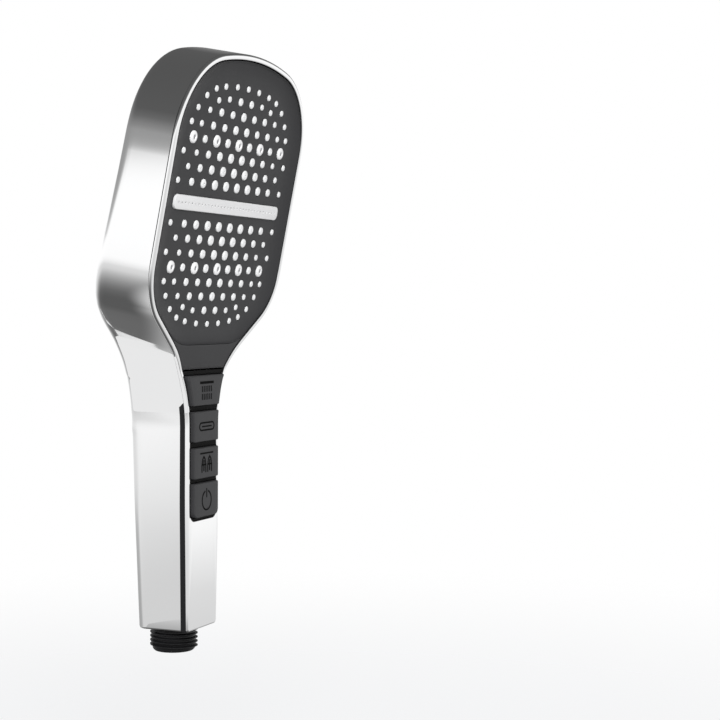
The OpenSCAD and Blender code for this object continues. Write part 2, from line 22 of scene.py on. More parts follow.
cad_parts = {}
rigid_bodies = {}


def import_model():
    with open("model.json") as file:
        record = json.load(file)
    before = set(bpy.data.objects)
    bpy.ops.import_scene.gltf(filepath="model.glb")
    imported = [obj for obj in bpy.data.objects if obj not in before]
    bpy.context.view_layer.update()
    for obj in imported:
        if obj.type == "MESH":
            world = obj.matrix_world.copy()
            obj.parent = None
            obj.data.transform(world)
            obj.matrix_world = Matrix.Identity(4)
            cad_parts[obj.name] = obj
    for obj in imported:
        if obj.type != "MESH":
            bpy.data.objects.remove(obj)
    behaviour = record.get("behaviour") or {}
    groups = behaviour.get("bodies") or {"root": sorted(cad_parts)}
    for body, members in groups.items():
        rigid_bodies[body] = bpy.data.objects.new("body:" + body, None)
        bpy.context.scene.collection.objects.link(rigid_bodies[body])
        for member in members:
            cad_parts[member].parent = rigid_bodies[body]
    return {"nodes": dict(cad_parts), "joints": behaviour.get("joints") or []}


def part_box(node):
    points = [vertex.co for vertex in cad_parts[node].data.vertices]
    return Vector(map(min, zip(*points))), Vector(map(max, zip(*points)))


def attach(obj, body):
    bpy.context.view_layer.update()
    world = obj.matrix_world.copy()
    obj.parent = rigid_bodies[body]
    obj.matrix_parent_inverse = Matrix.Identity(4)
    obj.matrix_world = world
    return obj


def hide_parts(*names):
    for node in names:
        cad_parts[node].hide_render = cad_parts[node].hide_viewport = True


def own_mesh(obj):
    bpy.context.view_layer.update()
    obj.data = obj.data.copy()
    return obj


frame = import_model()

LOG = logging.getLogger("shower_head")
MM = 0.001
Flat = tuple[float, float]
Spot = tuple[float, float, float]


# --- Node trees --------------------------------------------------------------


class Wire:
    """An output socket on a bench, with operators that add Math nodes."""

    def __init__(self, bench: "Bench", socket: bpy.types.NodeSocket) -> None:
        """Keep the socket and the bench that its nodes go on."""
        self.bench = bench
        self.socket = socket

    def _math(self, operation: str, first: object, second: object) -> "Wire":
        """Join two values with a Math node and return its output."""
        node = self.bench.node("ShaderNodeMath", {"operation": operation}, {0: first, 1: second})
        return self.bench.wire(node)

    def __add__(self, other: object) -> "Wire":
        """Return self + other."""
        return self._math("ADD", self, other)

    def __radd__(self, other: object) -> "Wire":
        """Return other + self."""
        return self._math("ADD", other, self)

    def __sub__(self, other: object) -> "Wire":
        """Return self - other."""
        return self._math("SUBTRACT", self, other)

    def __rsub__(self, other: object) -> "Wire":
        """Return other - self."""
        return self._math("SUBTRACT", other, self)

    def __mul__(self, other: object) -> "Wire":
        """Return self * other."""
        return self._math("MULTIPLY", self, other)

    def __rmul__(self, other: object) -> "Wire":
        """Return other * self."""
        return self._math("MULTIPLY", other, self)

class Bench:
    """Adds nodes to one tree."""

    def __init__(self, tree: bpy.types.NodeTree) -> None:
        """Clear the tree and keep it."""
        tree.nodes.clear()
        self.tree = tree

    def node(self, kind: str, settings: dict | None = None, inputs: dict | None = None) -> bpy.types.Node:
        """Add a node.

        Args:
            kind: The node's type.
            settings: Its properties, set first. A ramp's "stops" are (place, colour) pairs.
            inputs: Values or wires, by socket name or number.

        Returns:
            The new node.
        """
        made = self.tree.nodes.new(kind)
        for name, value in (settings or {}).items():
            if name == "stops":
                self._set_stops(made.color_ramp, value)
            else:
                setattr(made, name, value)
        for key, value in (inputs or {}).items():
            if isinstance(value, Wire):
                self.tree.links.new(value.socket, made.inputs[key])
            else:
                made.inputs[key].default_value = value
        return made

    @staticmethod
    def _set_stops(ramp: bpy.types.ColorRamp, stops: list[tuple[float, tuple]]) -> None:
        """Give a colour ramp its stops.

        Args:
            ramp: The ramp.
            stops: Its stops, as place and colour.
        """
        while len(ramp.elements) < len(stops):
            ramp.elements.new(1.0)
        for element, (place, colour) in zip(ramp.elements, stops):
            element.position = place
            element.color = colour

    def wire(self, node: bpy.types.Node, output: int | str = 0) -> Wire:
        """Return one of a node's outputs as a Wire."""
        return Wire(self, node.outputs[output])


def grey(level: float) -> tuple[float, float, float, float]:
    """Return an opaque grey."""
    return (level, level, level, 1.0)


def bare_material(name: str) -> tuple[bpy.types.Material, Bench]:
    """Make an empty material.

    Args:
        name: The material's name.

    Returns:
        The material and a bench for its nodes.
    """
    made = bpy.data.materials.new(name)
    made.use_nodes = True
    return made, Bench(made.node_tree)


# --- Finishes ----------------------------------------------------------------


@dataclass(frozen=True)
class Finish:
    """A moulded, plated or metal surface with slight mottle and fine relief."""

    name: str
    slot: str
    colour: tuple[float, float, float]
    metallic: float = 0.0
    roughness: float = 0.4
    rough_spread: float = 0.06
    tone_spread: float = 0.06
    mottle_scale: float = 60.0
    grain_scale: float = 1500.0
    grain_depth: float = 0.00002
    grain_strength: float = 0.2
    specular: float = 0.5

    def material(self) -> bpy.types.Material:
        """Return the material, made on first use.

        Returns:
            The material.
        """
        known = bpy.data.materials.get(self.name)
        if known is not None:
            return known
        made, bench = bare_material(self.name)
        place = bench.wire(bench.node("ShaderNodeTexCoord"), "Object")
        mottle = bench.wire(bench.node("ShaderNodeTexNoise", inputs={
            "Vector": place, "Scale": self.mottle_scale, "Detail": 3.0}), "Fac")
        grain = bench.wire(bench.node("ShaderNodeTexNoise", inputs={
            "Vector": place, "Scale": self.grain_scale, "Detail": 2.0}), "Fac")
        low = tuple(max(0.0, c * (1 - self.tone_spread)) for c in self.colour)
        high = tuple(min(1.0, c * (1 + self.tone_spread)) for c in self.colour)
        tone = bench.node("ShaderNodeMix", {"data_type": "RGBA"}, {"Factor": mottle})
        for key, shade in (("A", low), ("B", high)):
            socket = next(s for s in tone.inputs if s.name == key and s.type == "RGBA")
            socket.default_value = (*shade, 1.0)
        bump = bench.node("ShaderNodeBump", inputs={
            "Strength": self.grain_strength, "Distance": self.grain_depth, "Height": grain})
        rough = (mottle - 0.5) * (2 * self.rough_spread) + self.roughness
        shader = bench.node(
            "ShaderNodeBsdfPrincipled",
            inputs={
                "Base Color": Wire(bench, next(s for s in tone.outputs if s.type == "RGBA")),
                "Metallic": self.metallic,
                "Roughness": rough,
                "Specular IOR Level": self.specular,
                "Normal": bench.wire(bump),
            },
        )
        bench.node("ShaderNodeOutputMaterial", inputs={"Surface": bench.wire(shader)})
        return made

    def dress(self, piece: bpy.types.Object) -> bpy.types.Object:
        """Give a whole piece this finish.

        Args:
            piece: The piece.

        Returns:
            The same piece.
        """
        piece.data.materials.clear()
        piece.data.materials.append(self.material())
        return piece


CHROME = Finish("bright_chrome", "chrome_plate", (0.955, 0.957, 0.96), metallic=1.0, roughness=0.05,
                rough_spread=0.02, tone_spread=0.01, mottle_scale=35.0, grain_scale=400.0,
                grain_depth=0.000004, grain_strength=0.04)
STRIP = Finish("satin_black_inlay", "strip_black", (0.009, 0.009, 0.010), roughness=0.3, specular=0.2)
PLATE = Finish("grained_dark_plate", "plate_grey", (0.038, 0.038, 0.040), roughness=0.5, specular=0.25,
               grain_scale=2600.0, grain_depth=0.00006, grain_strength=0.35, tone_spread=0.12)
KEY = Finish("grained_dark_key", "key_grey", (0.044, 0.044, 0.046), roughness=0.5, specular=0.25,
             grain_scale=2600.0, grain_depth=0.00006, grain_strength=0.35, tone_spread=0.12)
ICON = Finish("sunk_key_mark", "key_grey", (0.004, 0.004, 0.004), roughness=0.7, specular=0.05)
FRAME = Finish("black_key_frame", "frame_black", (0.003, 0.003, 0.003), roughness=0.6, specular=0.1)
NUB = Finish("soft_white_nozzle", "soft_nozzle", (0.90, 0.905, 0.91), roughness=0.35, tone_spread=0.03)
# Near black, though the silicone sheet it stands for is white: painted shadow in the gap round each nozzle.
GAP_SHADOW_SHEET = Finish("shaded_nozzle_sheet", "soft_nozzle", (0.012, 0.012, 0.012), roughness=0.7, specular=0.1)
RING = Finish("hard_white_nozzle", "hard_nozzle", (0.94, 0.94, 0.945), roughness=0.25, tone_spread=0.03)
RING_CUP = Finish("grey_nozzle_cup", "hard_nozzle", (0.3, 0.3, 0.31), roughness=0.4)
BAR = Finish("satin_white_bar", "bar_finish", (0.84, 0.84, 0.845), roughness=0.3, tone_spread=0.02)
INNER = Finish("plain_inner_moulding", "inner_plastic", (0.55, 0.58, 0.62), roughness=0.55)
# Black rubber of the real seals; on the seam cord the same finish is painted shadow in the seam's gap.
SEAL_AND_SEAM_SHADOW = Finish("black_seal_rubber", "seal_rubber", (0.02, 0.02, 0.02), roughness=0.6)
BRASS = Finish("turned_brass", "plunger_brass", (0.72, 0.52, 0.22), metallic=1.0, roughness=0.25)
STEEL = Finish("drawn_steel", "steel", (0.6, 0.6, 0.61), metallic=1.0, roughness=0.28)
THREAD = Finish("black_thread_plastic", "thread_black", (0.010, 0.010, 0.011), roughness=0.38, specular=0.3)
VALVE = Finish("white_valve_plastic", "valve_plastic", (0.8, 0.81, 0.83), roughness=0.4)


# --- Outlines and the stance of the body ---------------------------------------


def arc(centre: Flat, radius: float, start: float, end: float, steps: int, skip: int = 0) -> list[Flat]:
    """Return points of an arc.

    Args:
        centre: Its middle.
        radius: Its radius.
        start: First angle, in degrees.
        end: Last angle, in degrees.
        steps: Number of chords.
        skip: How many of the first points to leave out.

    Returns:
        The points in order.
    """
    turns = [math.radians(start + (end - start) * k / steps) for k in range(skip, steps + 1)]
    return [(centre[0] + radius * math.cos(a), centre[1] + radius * math.sin(a)) for a in turns]


@dataclass(frozen=True)
class Outline:
    """Front outline of the head: crown, corner, side, lower corner, shoulder and hollow neck."""

    opening_hw: float = 0.0581
    opening_top: float = 0.0633
    crown_r: float = 0.150
    corner_r: float = 0.0353
    lower_r: float = 0.026
    lower_v: float = -0.0264
    shoulder: float = 55.0
    neck_r: float = 0.045
    rim_w: float = 0.0024
    dish_v: float = -0.0605
    dish_r: float = 0.030

    def lower_centre(self) -> Flat:
        """Return the middle of the lower corner's arc."""
        return (self.opening_hw - self.lower_r, self.lower_v)

    def head_part(self, e: float) -> list[Flat]:
        """Return the right half from the lower corner up to the crown, e outside the opening.

        Args:
            e: How far outside the opening.

        Returns:
            The points in order.
        """
        crown_c = (0.0, self.opening_top - self.crown_r)
        corner_x = self.opening_hw - self.corner_r
        rise = math.sqrt((self.crown_r - self.corner_r) ** 2 - corner_x**2)
        corner_c = (corner_x, crown_c[1] + rise)
        crown_a = math.degrees(math.atan2(rise, corner_x))
        side = self.opening_hw + e
        low, high = self.lower_v, corner_c[1]
        straight = [(side, low + (high - low) * k / 6) for k in range(1, 6)]
        return [
            *arc(self.lower_centre(), self.lower_r + e, -self.shoulder, 0, 12),
            *straight,
            *arc(corner_c, self.corner_r + e, 0, crown_a, 18),
            *arc(crown_c, self.crown_r + e, crown_a, 90, 8, 1),
        ]

    def shoulder_point(self, e: float) -> Flat:
        """Return where the straight shoulder meets the lower corner's arc."""
        return arc(self.lower_centre(), self.lower_r + e, -self.shoulder, 0, 1)[0]

    def neck_part(self, e: float, grip: float) -> list[Flat]:
        """Return the hollow neck curve from the grip up to the shoulder.

        Args:
            e: How far outside the opening.
            grip: The half width where the curve starts.

        Returns:
            The points in order.
        """
        turn = math.radians(self.shoulder)
        start = self.shoulder_point(e)
        r = self.neck_r - e
        run = (start[0] - grip - r * (1 - math.cos(turn))) / math.sin(turn)
        centre = (grip + r, start[1] - run * math.cos(turn) - r * math.sin(turn))
        return arc(centre, r, 180, 180 - self.shoulder, 32)

    def dish(self, e: float) -> list[Flat]:
        """Return the right half of the sunk dish's outline, from its foot up to the crown.

        Args:
            e: How far outside the opening.

        Returns:
            The points in order.
        """
        n = (math.cos(math.radians(self.shoulder)), math.sin(math.radians(self.shoulder)))
        reach = self.lower_centre()
        gap = self.lower_r - self.dish_r + n[1] * (self.dish_v + self.dish_r - reach[1])
        centre = (reach[0] + gap / n[0], self.dish_v + self.dish_r)
        foot = [(centre[0] * k / 5, self.dish_v - e) for k in range(5)]
        return [*foot, *arc(centre, self.dish_r + e, -90, -self.shoulder, 6), *self.head_part(e)]


@dataclass(frozen=True)
class Stance:
    """Side view of the body: where its front plane, back and bend lie."""

    outline: Outline = field(default_factory=Outline)
    tilt: float = math.radians(11.2)
    front: float = -0.0145
    foot_front: float = -0.0140
    bend_z: float = 0.1239
    bar_up: float = 0.0711
    depth: float = 0.0245
    foot_z: float = 0.0105
    grip: float = 0.014
    foot_hw: float = 0.0129
    opening_grip: float = 0.0124
    front_z: float = 0.060
    taper_z: float = 0.065
    back_end: float = 0.0239
    back_z: float = 0.098
    back_y_at: Flat = (0.012, 0.015)
    seam_v: Flat = (-0.077, -0.0711)
    seam_deep: Flat = (0.0016, 0.0011)
    turn_v: Flat = (-0.100, -0.058)
    belly: tuple[Flat, ...] = (
        (-0.100, 0.0), (-0.092, 0.0008), (-0.085, 0.0024), (-0.078, 0.0042), (-0.0715, 0.0060),
        (-0.0665, 0.0076), (-0.062, 0.0086), (-0.058, 0.0088), (-0.054, 0.0085), (-0.0497, 0.0072),
        (-0.0465, 0.0059), (-0.0406, 0.0044), (-0.034, 0.0033), (-0.026, 0.0026), (-0.010, 0.0016),
        (0.010, 0.0006), (0.030, 0.0))

    def face_v(self, z: float) -> float:
        """Return the unrolled height of a point at height z on the handle."""
        return z - self.bend_z - self.bar_up

    def face_matrix(self) -> Matrix:
        """Return the matrix that stands a piece made in the face's plane in its place.

        Returns:
            The matrix.
        """
        s, c = math.sin(self.tilt), math.cos(self.tilt)
        origin = (self.front - self.bar_up * s, self.bend_z + self.bar_up * c)
        return Matrix(((1, 0, 0, 0), (0, -s, -c, origin[0]), (0, c, -s, origin[1]), (0, 0, 0, 1)))

    def back_y(self, z: float) -> float:
        """Return how far back the handle and neck reach at height z.

        Args:
            z: The height.

        Returns:
            The back's Y.
        """
        s, c = math.sin(self.tilt), math.cos(self.tilt)
        low_z = self.bend_z - self.back_end * c + self.depth * s
        low_y = self.front + self.back_end * s + self.depth * c
        if z > low_z:
            return low_y - (z - low_z) * s / c
        return float(np.interp(z, [self.foot_z, self.back_z, low_z], [*self.back_y_at, low_y]))

    def front_y(self, z: float) -> float:
        """Return the handle's front plane at height z."""
        return float(np.interp(z, [self.foot_z, self.front_z], [self.foot_front, self.front]))

    def ruling(self, v: float) -> tuple[Vector, Vector, float]:
        """Return the line that runs from the front to the back at one height.

        Args:
            v: Unrolled height.

        Returns:
            Its start, its direction and its length, in the Y and Z of the side view.
        """
        s, c = math.sin(self.tilt), math.cos(self.tilt)
        if v >= -self.bar_up:
            up = v + self.bar_up
            start = Vector((self.front - up * s, self.bend_z + up * c))
        else:
            z = v + self.bar_up + self.bend_z
            start = Vector((self.front_y(z), z))
        belly = float(np.interp(v, *zip(*self.belly)))
        if v >= self.turn_v[1]:
            return start, Vector((c, s)), self.depth + belly
        share = max(0.0, (v - self.turn_v[0]) / (self.turn_v[1] - self.turn_v[0]))
        back_z = start.y + self.depth * s * share * share * (3 - 2 * share)
        across = Vector((self.back_y(back_z), back_z)) - start
        return start, across.normalized(), across.length + belly

    def side_x(self, v: float, inset: float) -> float:
        """Return the body's half width at an unrolled height on the handle or neck.

        Args:
            v: The unrolled height.
            inset: How far inside the outer surface.

        Returns:
            The half width.
        """
        neck = self.outline.neck_part(self.outline.rim_w - inset, self.grip - inset)
        foot_v, taper_v = self.face_v(self.foot_z), self.face_v(self.taper_z)
        vs = [foot_v, taper_v, *[p[1] for p in neck]]
        xs = [self.foot_hw - inset, self.grip - inset, *[p[0] for p in neck]]
        return float(np.interp(v, vs, xs))

    def seam_depth(self, v: float) -> float:
        """Return how far the seam between bezel and shell lies behind the front."""
        return float(np.interp(v, self.seam_v, self.seam_deep))


@dataclass(frozen=True)
class Row:
    """One step round the body's outline: its kind decides how a wall's inset moves it."""

    kind: str
    v: float = 0.0
    share: float = 0.0
    index: int = 0


# --- Mesh making ---------------------------------------------------------------


def new_piece(name: str, points: list, faces: list, smooth_angle: float = 40.0) -> bpy.types.Object:
    """Make a mesh object.

    Args:
        name: The piece's name.
        points: Its vertices.
        faces: Its faces, as lists of vertex numbers.
        smooth_angle: Edges sharper than this stay sharp, in degrees.

    Returns:
        The object, with outward normals.
    """
    mesh = bpy.data.meshes.new(name)
    mesh.from_pydata([tuple(p) for p in points], [], faces)
    piece = bpy.data.objects.new(name, mesh)
    bpy.context.scene.collection.objects.link(piece)
    return tidy_mesh(piece, smooth_angle)


def tidy_mesh(piece: bpy.types.Object, smooth_angle: float = 40.0, weld: float = 1e-7) -> bpy.types.Object:
    """Merge doubles, turn normals outwards and smooth all but the sharp edges.

    Args:
        piece: The piece.
        smooth_angle: Edges sharper than this stay sharp, in degrees.
        weld: Points closer than this are merged.

    Returns:
        The same piece.
    """
    work = bmesh.new()
    work.from_mesh(piece.data)
    bmesh.ops.remove_doubles(work, verts=work.verts, dist=weld)
    bmesh.ops.dissolve_degenerate(work, edges=work.edges, dist=weld)
    bmesh.ops.recalc_face_normals(work, faces=work.faces)
    limit = math.radians(smooth_angle)
    for edge in work.edges:
        edge.smooth = len(edge.link_faces) == 2 and edge.calc_face_angle(0.0) < limit
    for face in work.faces:
        face.smooth = True
    work.to_mesh(piece.data)
    work.free()
    return piece


def loft(rings: list[list], closed_ends: bool = False) -> tuple[list, list]:
    """Join closed rings of equal length with quads.

    Args:
        rings: The rings, in order.
        closed_ends: True to join the last ring back to the first.

    Returns:
        The points and the faces.
    """
    count = len(rings[0])
    points = [p for ring in rings for p in ring]
    faces = []
    for k in range(len(rings) - (0 if closed_ends else 1)):
        a, b = k * count, ((k + 1) % len(rings)) * count
        for i in range(count):
            j = (i + 1) % count
            faces.append([a + i, a + j, b + j, b + i])
    return points, faces


def both_sides(half: list) -> list:
    """Mirror the right half of a ring, which starts and ends on the middle, to the left."""
    return [*half, *[(-p[0], *p[1:]) for p in half[-2:0:-1]]]


def span_cap(ring: list, columns: int, bulge: Vector, start: int) -> tuple[list, list]:
    """Close a mirrored ring with rows that run across it.

    Args:
        ring: The ring, as both_sides gives it.
        columns: Number of cells across.
        bulge: How far the middle stands out.
        start: Number of the cap's first vertex.

    Returns:
        The cap's points and faces. Its edge doubles the ring's own points.
    """
    count = len(ring)
    half = count // 2 + 1
    widest = max(abs(p[0]) for p in ring)
    points, faces = [], []
    for i in range(half):
        right = Vector(ring[i])
        left = Vector(ring[(count - i) % count])
        for k in range(columns + 1):
            across = k / columns
            dome = (1 - (2 * across - 1) ** 2) ** 2 * min(1.0, abs(right.x) / (0.4 * widest)) ** 0.5
            points.append(right.lerp(left, across) + bulge * dome)
    for i in range(half - 1):
        for k in range(columns):
            a = start + i * (columns + 1) + k
            faces.append([a, a + 1, a + columns + 2, a + columns + 1])
    return points, faces


def solid_from(name: str, rings: list[list], first_bulge: Vector, last_bulge: Vector,
               columns: int = 10, smooth_angle: float = 40.0) -> bpy.types.Object:
    """Make a closed solid from mirrored rings, capped at both ends.

    Args:
        name: The piece's name.
        rings: The rings, in order.
        first_bulge: How far the first end stands out.
        last_bulge: How far the last end stands out.
        columns: Number of cells across each end.
        smooth_angle: Edges sharper than this stay sharp, in degrees.

    Returns:
        The object.
    """
    points, faces = loft(rings)
    for ring, bulge in ((rings[0], first_bulge), (rings[-1], last_bulge)):
        more, cells = span_cap(ring, columns, bulge, len(points))
        points += more
        faces += cells
    return new_piece(name, points, faces, smooth_angle)


def circle(radius: float, segments: int) -> list[Flat]:
    """Return the points of a circle."""
    turns = [2 * math.pi * k / segments for k in range(segments)]
    return [(radius * math.cos(a), radius * math.sin(a)) for a in turns]


def lathe(name: str, profile: list[Flat], segments: int = 64, smooth_angle: float = 35.0) -> bpy.types.Object:
    """Turn a closed profile of (radius, height) points about Z.

    Args:
        name: The piece's name.
        profile: The closed profile.
        segments: Number of steps round.
        smooth_angle: Edges sharper than this stay sharp, in degrees.

    Returns:
        The object.
    """
    rings = []
    for k in range(segments):
        turn = 2 * math.pi * k / segments
        rings.append([(r * math.cos(turn), r * math.sin(turn), h) for r, h in profile])
    points, faces = loft(rings, closed_ends=True)
    return new_piece(name, points, faces, smooth_angle)


def turned(name: str, profile: list[Flat], segments: int = 16,
           smooth_angle: float = 40.0) -> bpy.types.Object:
    """Turn an open profile of (radius, height) points about Z and close both ends flat.

    Args:
        name: The piece's name.
        profile: The points, from the lower end to the upper one.
        segments: Number of steps round.
        smooth_angle: Edges sharper than this stay sharp, in degrees.

    Returns:
        The object.
    """
    points, faces = loft([[(*spot, h) for spot in circle(r, segments)] for r, h in profile])
    top = (len(profile) - 1) * segments
    faces += [list(range(segments))[::-1], [top + k for k in range(segments)]]
    return new_piece(name, points, faces, smooth_angle)


def inset_loop(loop: list[Flat], step: float) -> list[Flat]:
    """Move a closed flat loop inwards by step, keeping its number of points.

    Args:
        loop: The loop.
        step: How far it moves.

    Returns:
        The moved loop.
    """
    p = np.array(loop, float)
    ahead = np.roll(p, -1, axis=0) - p
    ahead /= np.maximum(np.linalg.norm(ahead, axis=1), 1e-12)[:, None]
    behind = np.roll(ahead, 1, axis=0)
    area = 0.5 * np.sum(p[:, 0] * np.roll(p[:, 1], -1) - np.roll(p[:, 0], -1) * p[:, 1])
    normal = np.stack([-(ahead + behind)[:, 1], (ahead + behind)[:, 0]], axis=1) * np.sign(area)
    length = np.maximum(np.linalg.norm(normal, axis=1), 1e-9)
    normal /= length[:, None]
    stretch = np.minimum(2.0 / length, 1.6)
    return [tuple(q) for q in p + normal * (step * stretch)[:, None]]


def join_pieces(name: str, pieces: list[bpy.types.Object]) -> bpy.types.Object:
    """Join pieces into the first and name it.

    Args:
        name: The name of the result.
        pieces: The pieces; all but the first are used up.

    Returns:
        The joined piece.
    """
    bpy.ops.object.select_all(action="DESELECT")
    for piece in pieces:
        piece.select_set(True)
    bpy.context.view_layer.objects.active = pieces[0]
    if len(pieces) > 1:
        bpy.ops.object.join()
    pieces[0].name = name
    pieces[0].data.name = name
    return pieces[0]


def place(piece: bpy.types.Object, body: str, finish: Finish, *nodes: str) -> bpy.types.Object:
    """Ride a finished piece on its body and let it stand for CAD nodes.

    Args:
        piece: The piece.
        body: The body it moves with.
        finish: Not used.
        *nodes: The CAD nodes it stands for.

    Returns:
        The same piece.
    """
    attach(piece, body)
    if nodes:
        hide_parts(*nodes)
    LOG.info("%s: %d faces", piece.name, len(piece.data.polygons))
    return piece


# --- Geometry Nodes --------------------------------------------------------------


class Tree:
    """A Geometry Nodes tree with named inputs, run once on an object."""

    def __init__(self, name: str, sizes: dict[str, tuple[str, object]]) -> None:
        """Open a tree.

        Args:
            name: The tree's name.
            sizes: Its inputs after the geometry, as socket type and value by name.
        """
        self.tree = bpy.data.node_groups.new(name, "GeometryNodeTree")
        face = self.tree.interface
        face.new_socket(name="Geometry", in_out="INPUT", socket_type="NodeSocketGeometry")
        self.ids: dict[str, str] = {}
        self.values = {label: value for label, (_, value) in sizes.items()}
        for label, (kind, _) in sizes.items():
            socket = face.new_socket(name=label, in_out="INPUT", socket_type=kind)
            self.ids[label] = socket.identifier
        face.new_socket(name="Geometry", in_out="OUTPUT", socket_type="NodeSocketGeometry")
        self.bench = Bench(self.tree)
        self.source = self.bench.node("NodeGroupInput")

    def given(self, label: str) -> Wire:
        """Return one of the tree's inputs as a Wire."""
        return self.bench.wire(self.source, label)

    def node(self, kind: str, settings: dict | None = None, inputs: dict | None = None,
             output: int | str = 0) -> Wire:
        """Add a node and return one of its outputs."""
        return self.bench.wire(self.bench.node(kind, settings, inputs), output)

    def close(self, result: Wire, finish: Finish) -> None:
        """End the tree with Realize Instances and Set Material.

        Args:
            result: The geometry to end with.
            finish: The finish it gets.
        """
        real = self.node("GeometryNodeRealizeInstances", inputs={0: result})
        dressed = self.node("GeometryNodeSetMaterial", inputs={
            "Geometry": real, "Material": finish.material()})
        self.bench.node("NodeGroupOutput", inputs={0: dressed})

    def run(self, carrier: bpy.types.Object, name: str, smooth_angle: float = 40.0) -> bpy.types.Object:
        """Run the tree on a carrier, which is used up.

        Args:
            carrier: The object that the tree starts from.
            name: The name of the result.
            smooth_angle: Edges sharper than this stay sharp, in degrees.

        Returns:
            A plain mesh object.
        """
        modifier = carrier.modifiers.new("recipe", "NODES")
        modifier.node_group = self.tree
        for label, value in self.values.items():
            modifier[self.ids[label]] = value
        bpy.context.view_layer.update()
        graph = bpy.context.evaluated_depsgraph_get()
        mesh = bpy.data.meshes.new_from_object(carrier.evaluated_get(graph))
        carrier.modifiers.remove(modifier)
        bpy.data.objects.remove(carrier)
        mesh.name = name
        piece = bpy.data.objects.new(name, mesh)
        bpy.context.scene.collection.objects.link(piece)
        return tidy_mesh(piece, smooth_angle)


def spot_cloud(name: str, spots: list[Spot], level: float) -> bpy.types.Object:
    """Make loose points that carry a size each, at one height above the face's plane.

    Args:
        name: The cloud's name.
        spots: Places and sizes.
        level: Height above the rim's plane.

    Returns:
        The object.
    """
    mesh = bpy.data.meshes.new(name)
    mesh.from_pydata([(x, v, level) for x, v, _ in spots], [], [])
    sizes = mesh.attributes.new("size", "FLOAT", "POINT")
    sizes.data.foreach_set("value", [s for _, _, s in spots])
    cloud = bpy.data.objects.new(name, mesh)
    bpy.context.scene.collection.objects.link(cloud)
    return cloud


def stamped(name: str, spots: list[Spot], level: float, shape: bpy.types.Object,
            finish: Finish) -> bpy.types.Object:
    """Stamp one shape of unit width at every spot, scaled to the spot's size.

    Args:
        name: The name of the result.
        spots: Places and sizes in the face's plane.
        level: Height above the rim's plane.
        shape: What is stamped; it is used up.
        finish: The finish of the result.

    Returns:
        One mesh with every copy in it.
    """
    tree = Tree(name + "_tree", {"Shape": ("NodeSocketObject", shape), "Growth": ("NodeSocketFloat", 1.0)})
    info = tree.node("GeometryNodeObjectInfo", {"transform_space": "ORIGINAL"},
                     {"Object": tree.given("Shape")}, "Geometry")
    size = tree.node("GeometryNodeInputNamedAttribute", {"data_type": "FLOAT"}, {"Name": "size"})
    copies = tree.node(
        "GeometryNodeInstanceOnPoints",
        inputs={"Points": tree.given("Geometry"), "Instance": info, "Scale": size * tree.given("Growth")},
    )
    tree.close(copies, finish)
    made = tree.run(spot_cloud(name + "_spots", spots, level), name, 50.0)
    bpy.data.objects.remove(shape)
    return made


def pierced(blank: bpy.types.Object, spots: list[Spot], gap: float, finish: Finish) -> bpy.types.Object:
    """Drill a round hole through a blank at every spot.

    Args:
        blank: The solid to drill, in the face's plane; it is used up.
        spots: Places and sizes of what comes through.
        gap: How much wider each hole is.
        finish: The finish of the result.

    Returns:
        The drilled solid.
    """
    name = blank.name
    cloud = spot_cloud(name + "_spots", spots, 0.0)
    tree = Tree(name + "_tree", {"Spots": ("NodeSocketObject", cloud), "Gap": ("NodeSocketFloat", gap),
                                 "Drill length": ("NodeSocketFloat", 0.03)})
    points = tree.node("GeometryNodeObjectInfo", {"transform_space": "ORIGINAL"},
                       {"Object": tree.given("Spots")}, "Geometry")
    size = tree.node("GeometryNodeInputNamedAttribute", {"data_type": "FLOAT"}, {"Name": "size"})
    drill = tree.node("GeometryNodeMeshCylinder", inputs={"Vertices": 24, "Radius": 0.5, "Depth": 1.0})
    width = size + tree.given("Gap")
    scale = tree.node("ShaderNodeCombineXYZ", inputs={0: width, 1: width, 2: tree.given("Drill length")})
    drills = tree.node("GeometryNodeInstanceOnPoints", inputs={
        "Points": points, "Instance": drill, "Scale": scale})
    cutters = tree.node("GeometryNodeRealizeInstances", inputs={0: drills})
    cut = tree.node("GeometryNodeMeshBoolean", {"operation": "DIFFERENCE", "solver": "EXACT"},
                    {"Mesh 1": tree.given("Geometry"), "Mesh 2": cutters})
    tree.close(cut, finish)
    blank.name = name + "_blank"
    made = tree.run(blank, name)
    bpy.data.objects.remove(cloud)
    return made


@dataclass(frozen=True)
class Coil:
    """A wire or ridge that winds about Z, from z = 0 upwards."""

    radius: float
    pitch: float
    turns: float
    wire: float
    crest: float = 0.0
    height: float = 0.0
    ridge_turn: float = 90.0

    def build(self, name: str, finish: Finish) -> bpy.types.Object:
        """Return the coil as a mesh: a round wire, or a ridge where height is given.

        Args:
            name: The name of the result.
            finish: Its finish.

        Returns:
            The coil.
        """
        tree = Tree(name + "_tree", {
            "Radius": ("NodeSocketFloat", self.radius), "Rise": ("NodeSocketFloat", self.pitch * self.turns),
            "Turns": ("NodeSocketFloat", self.turns), "Wire": ("NodeSocketFloat", self.wire),
        })
        path = tree.node("GeometryNodeCurveSpiral", inputs={
            "Resolution": 40, "Rotations": tree.given("Turns"), "Start Radius": tree.given("Radius"),
            "End Radius": tree.given("Radius"), "Height": tree.given("Rise")})
        path = tree.node("GeometryNodeSetCurveNormal", {"mode": "Z_UP"}, {"Curve": path})
        if self.height > 0:
            section = tree.node("GeometryNodeCurvePrimitiveQuadrilateral", {"mode": "TRAPEZOID"}, {
                "Height": self.height, "Bottom Width": tree.given("Wire"), "Top Width": self.crest,
                "Offset": 0.0})
            section = tree.node("GeometryNodeTransform", inputs={
                "Geometry": section, "Rotation": (0.0, 0.0, math.radians(self.ridge_turn))})
        else:
            section = tree.node("GeometryNodeCurvePrimitiveCircle",
                                inputs={"Resolution": 12, "Radius": tree.given("Wire") * 0.5})
        swept = tree.node("GeometryNodeCurveToMesh",
                          inputs={"Curve": path, "Profile Curve": section, "Fill Caps": True})
        tree.close(swept, finish)
        return tree.run(spot_cloud(name + "_start", [], 0.0), name, 50.0)


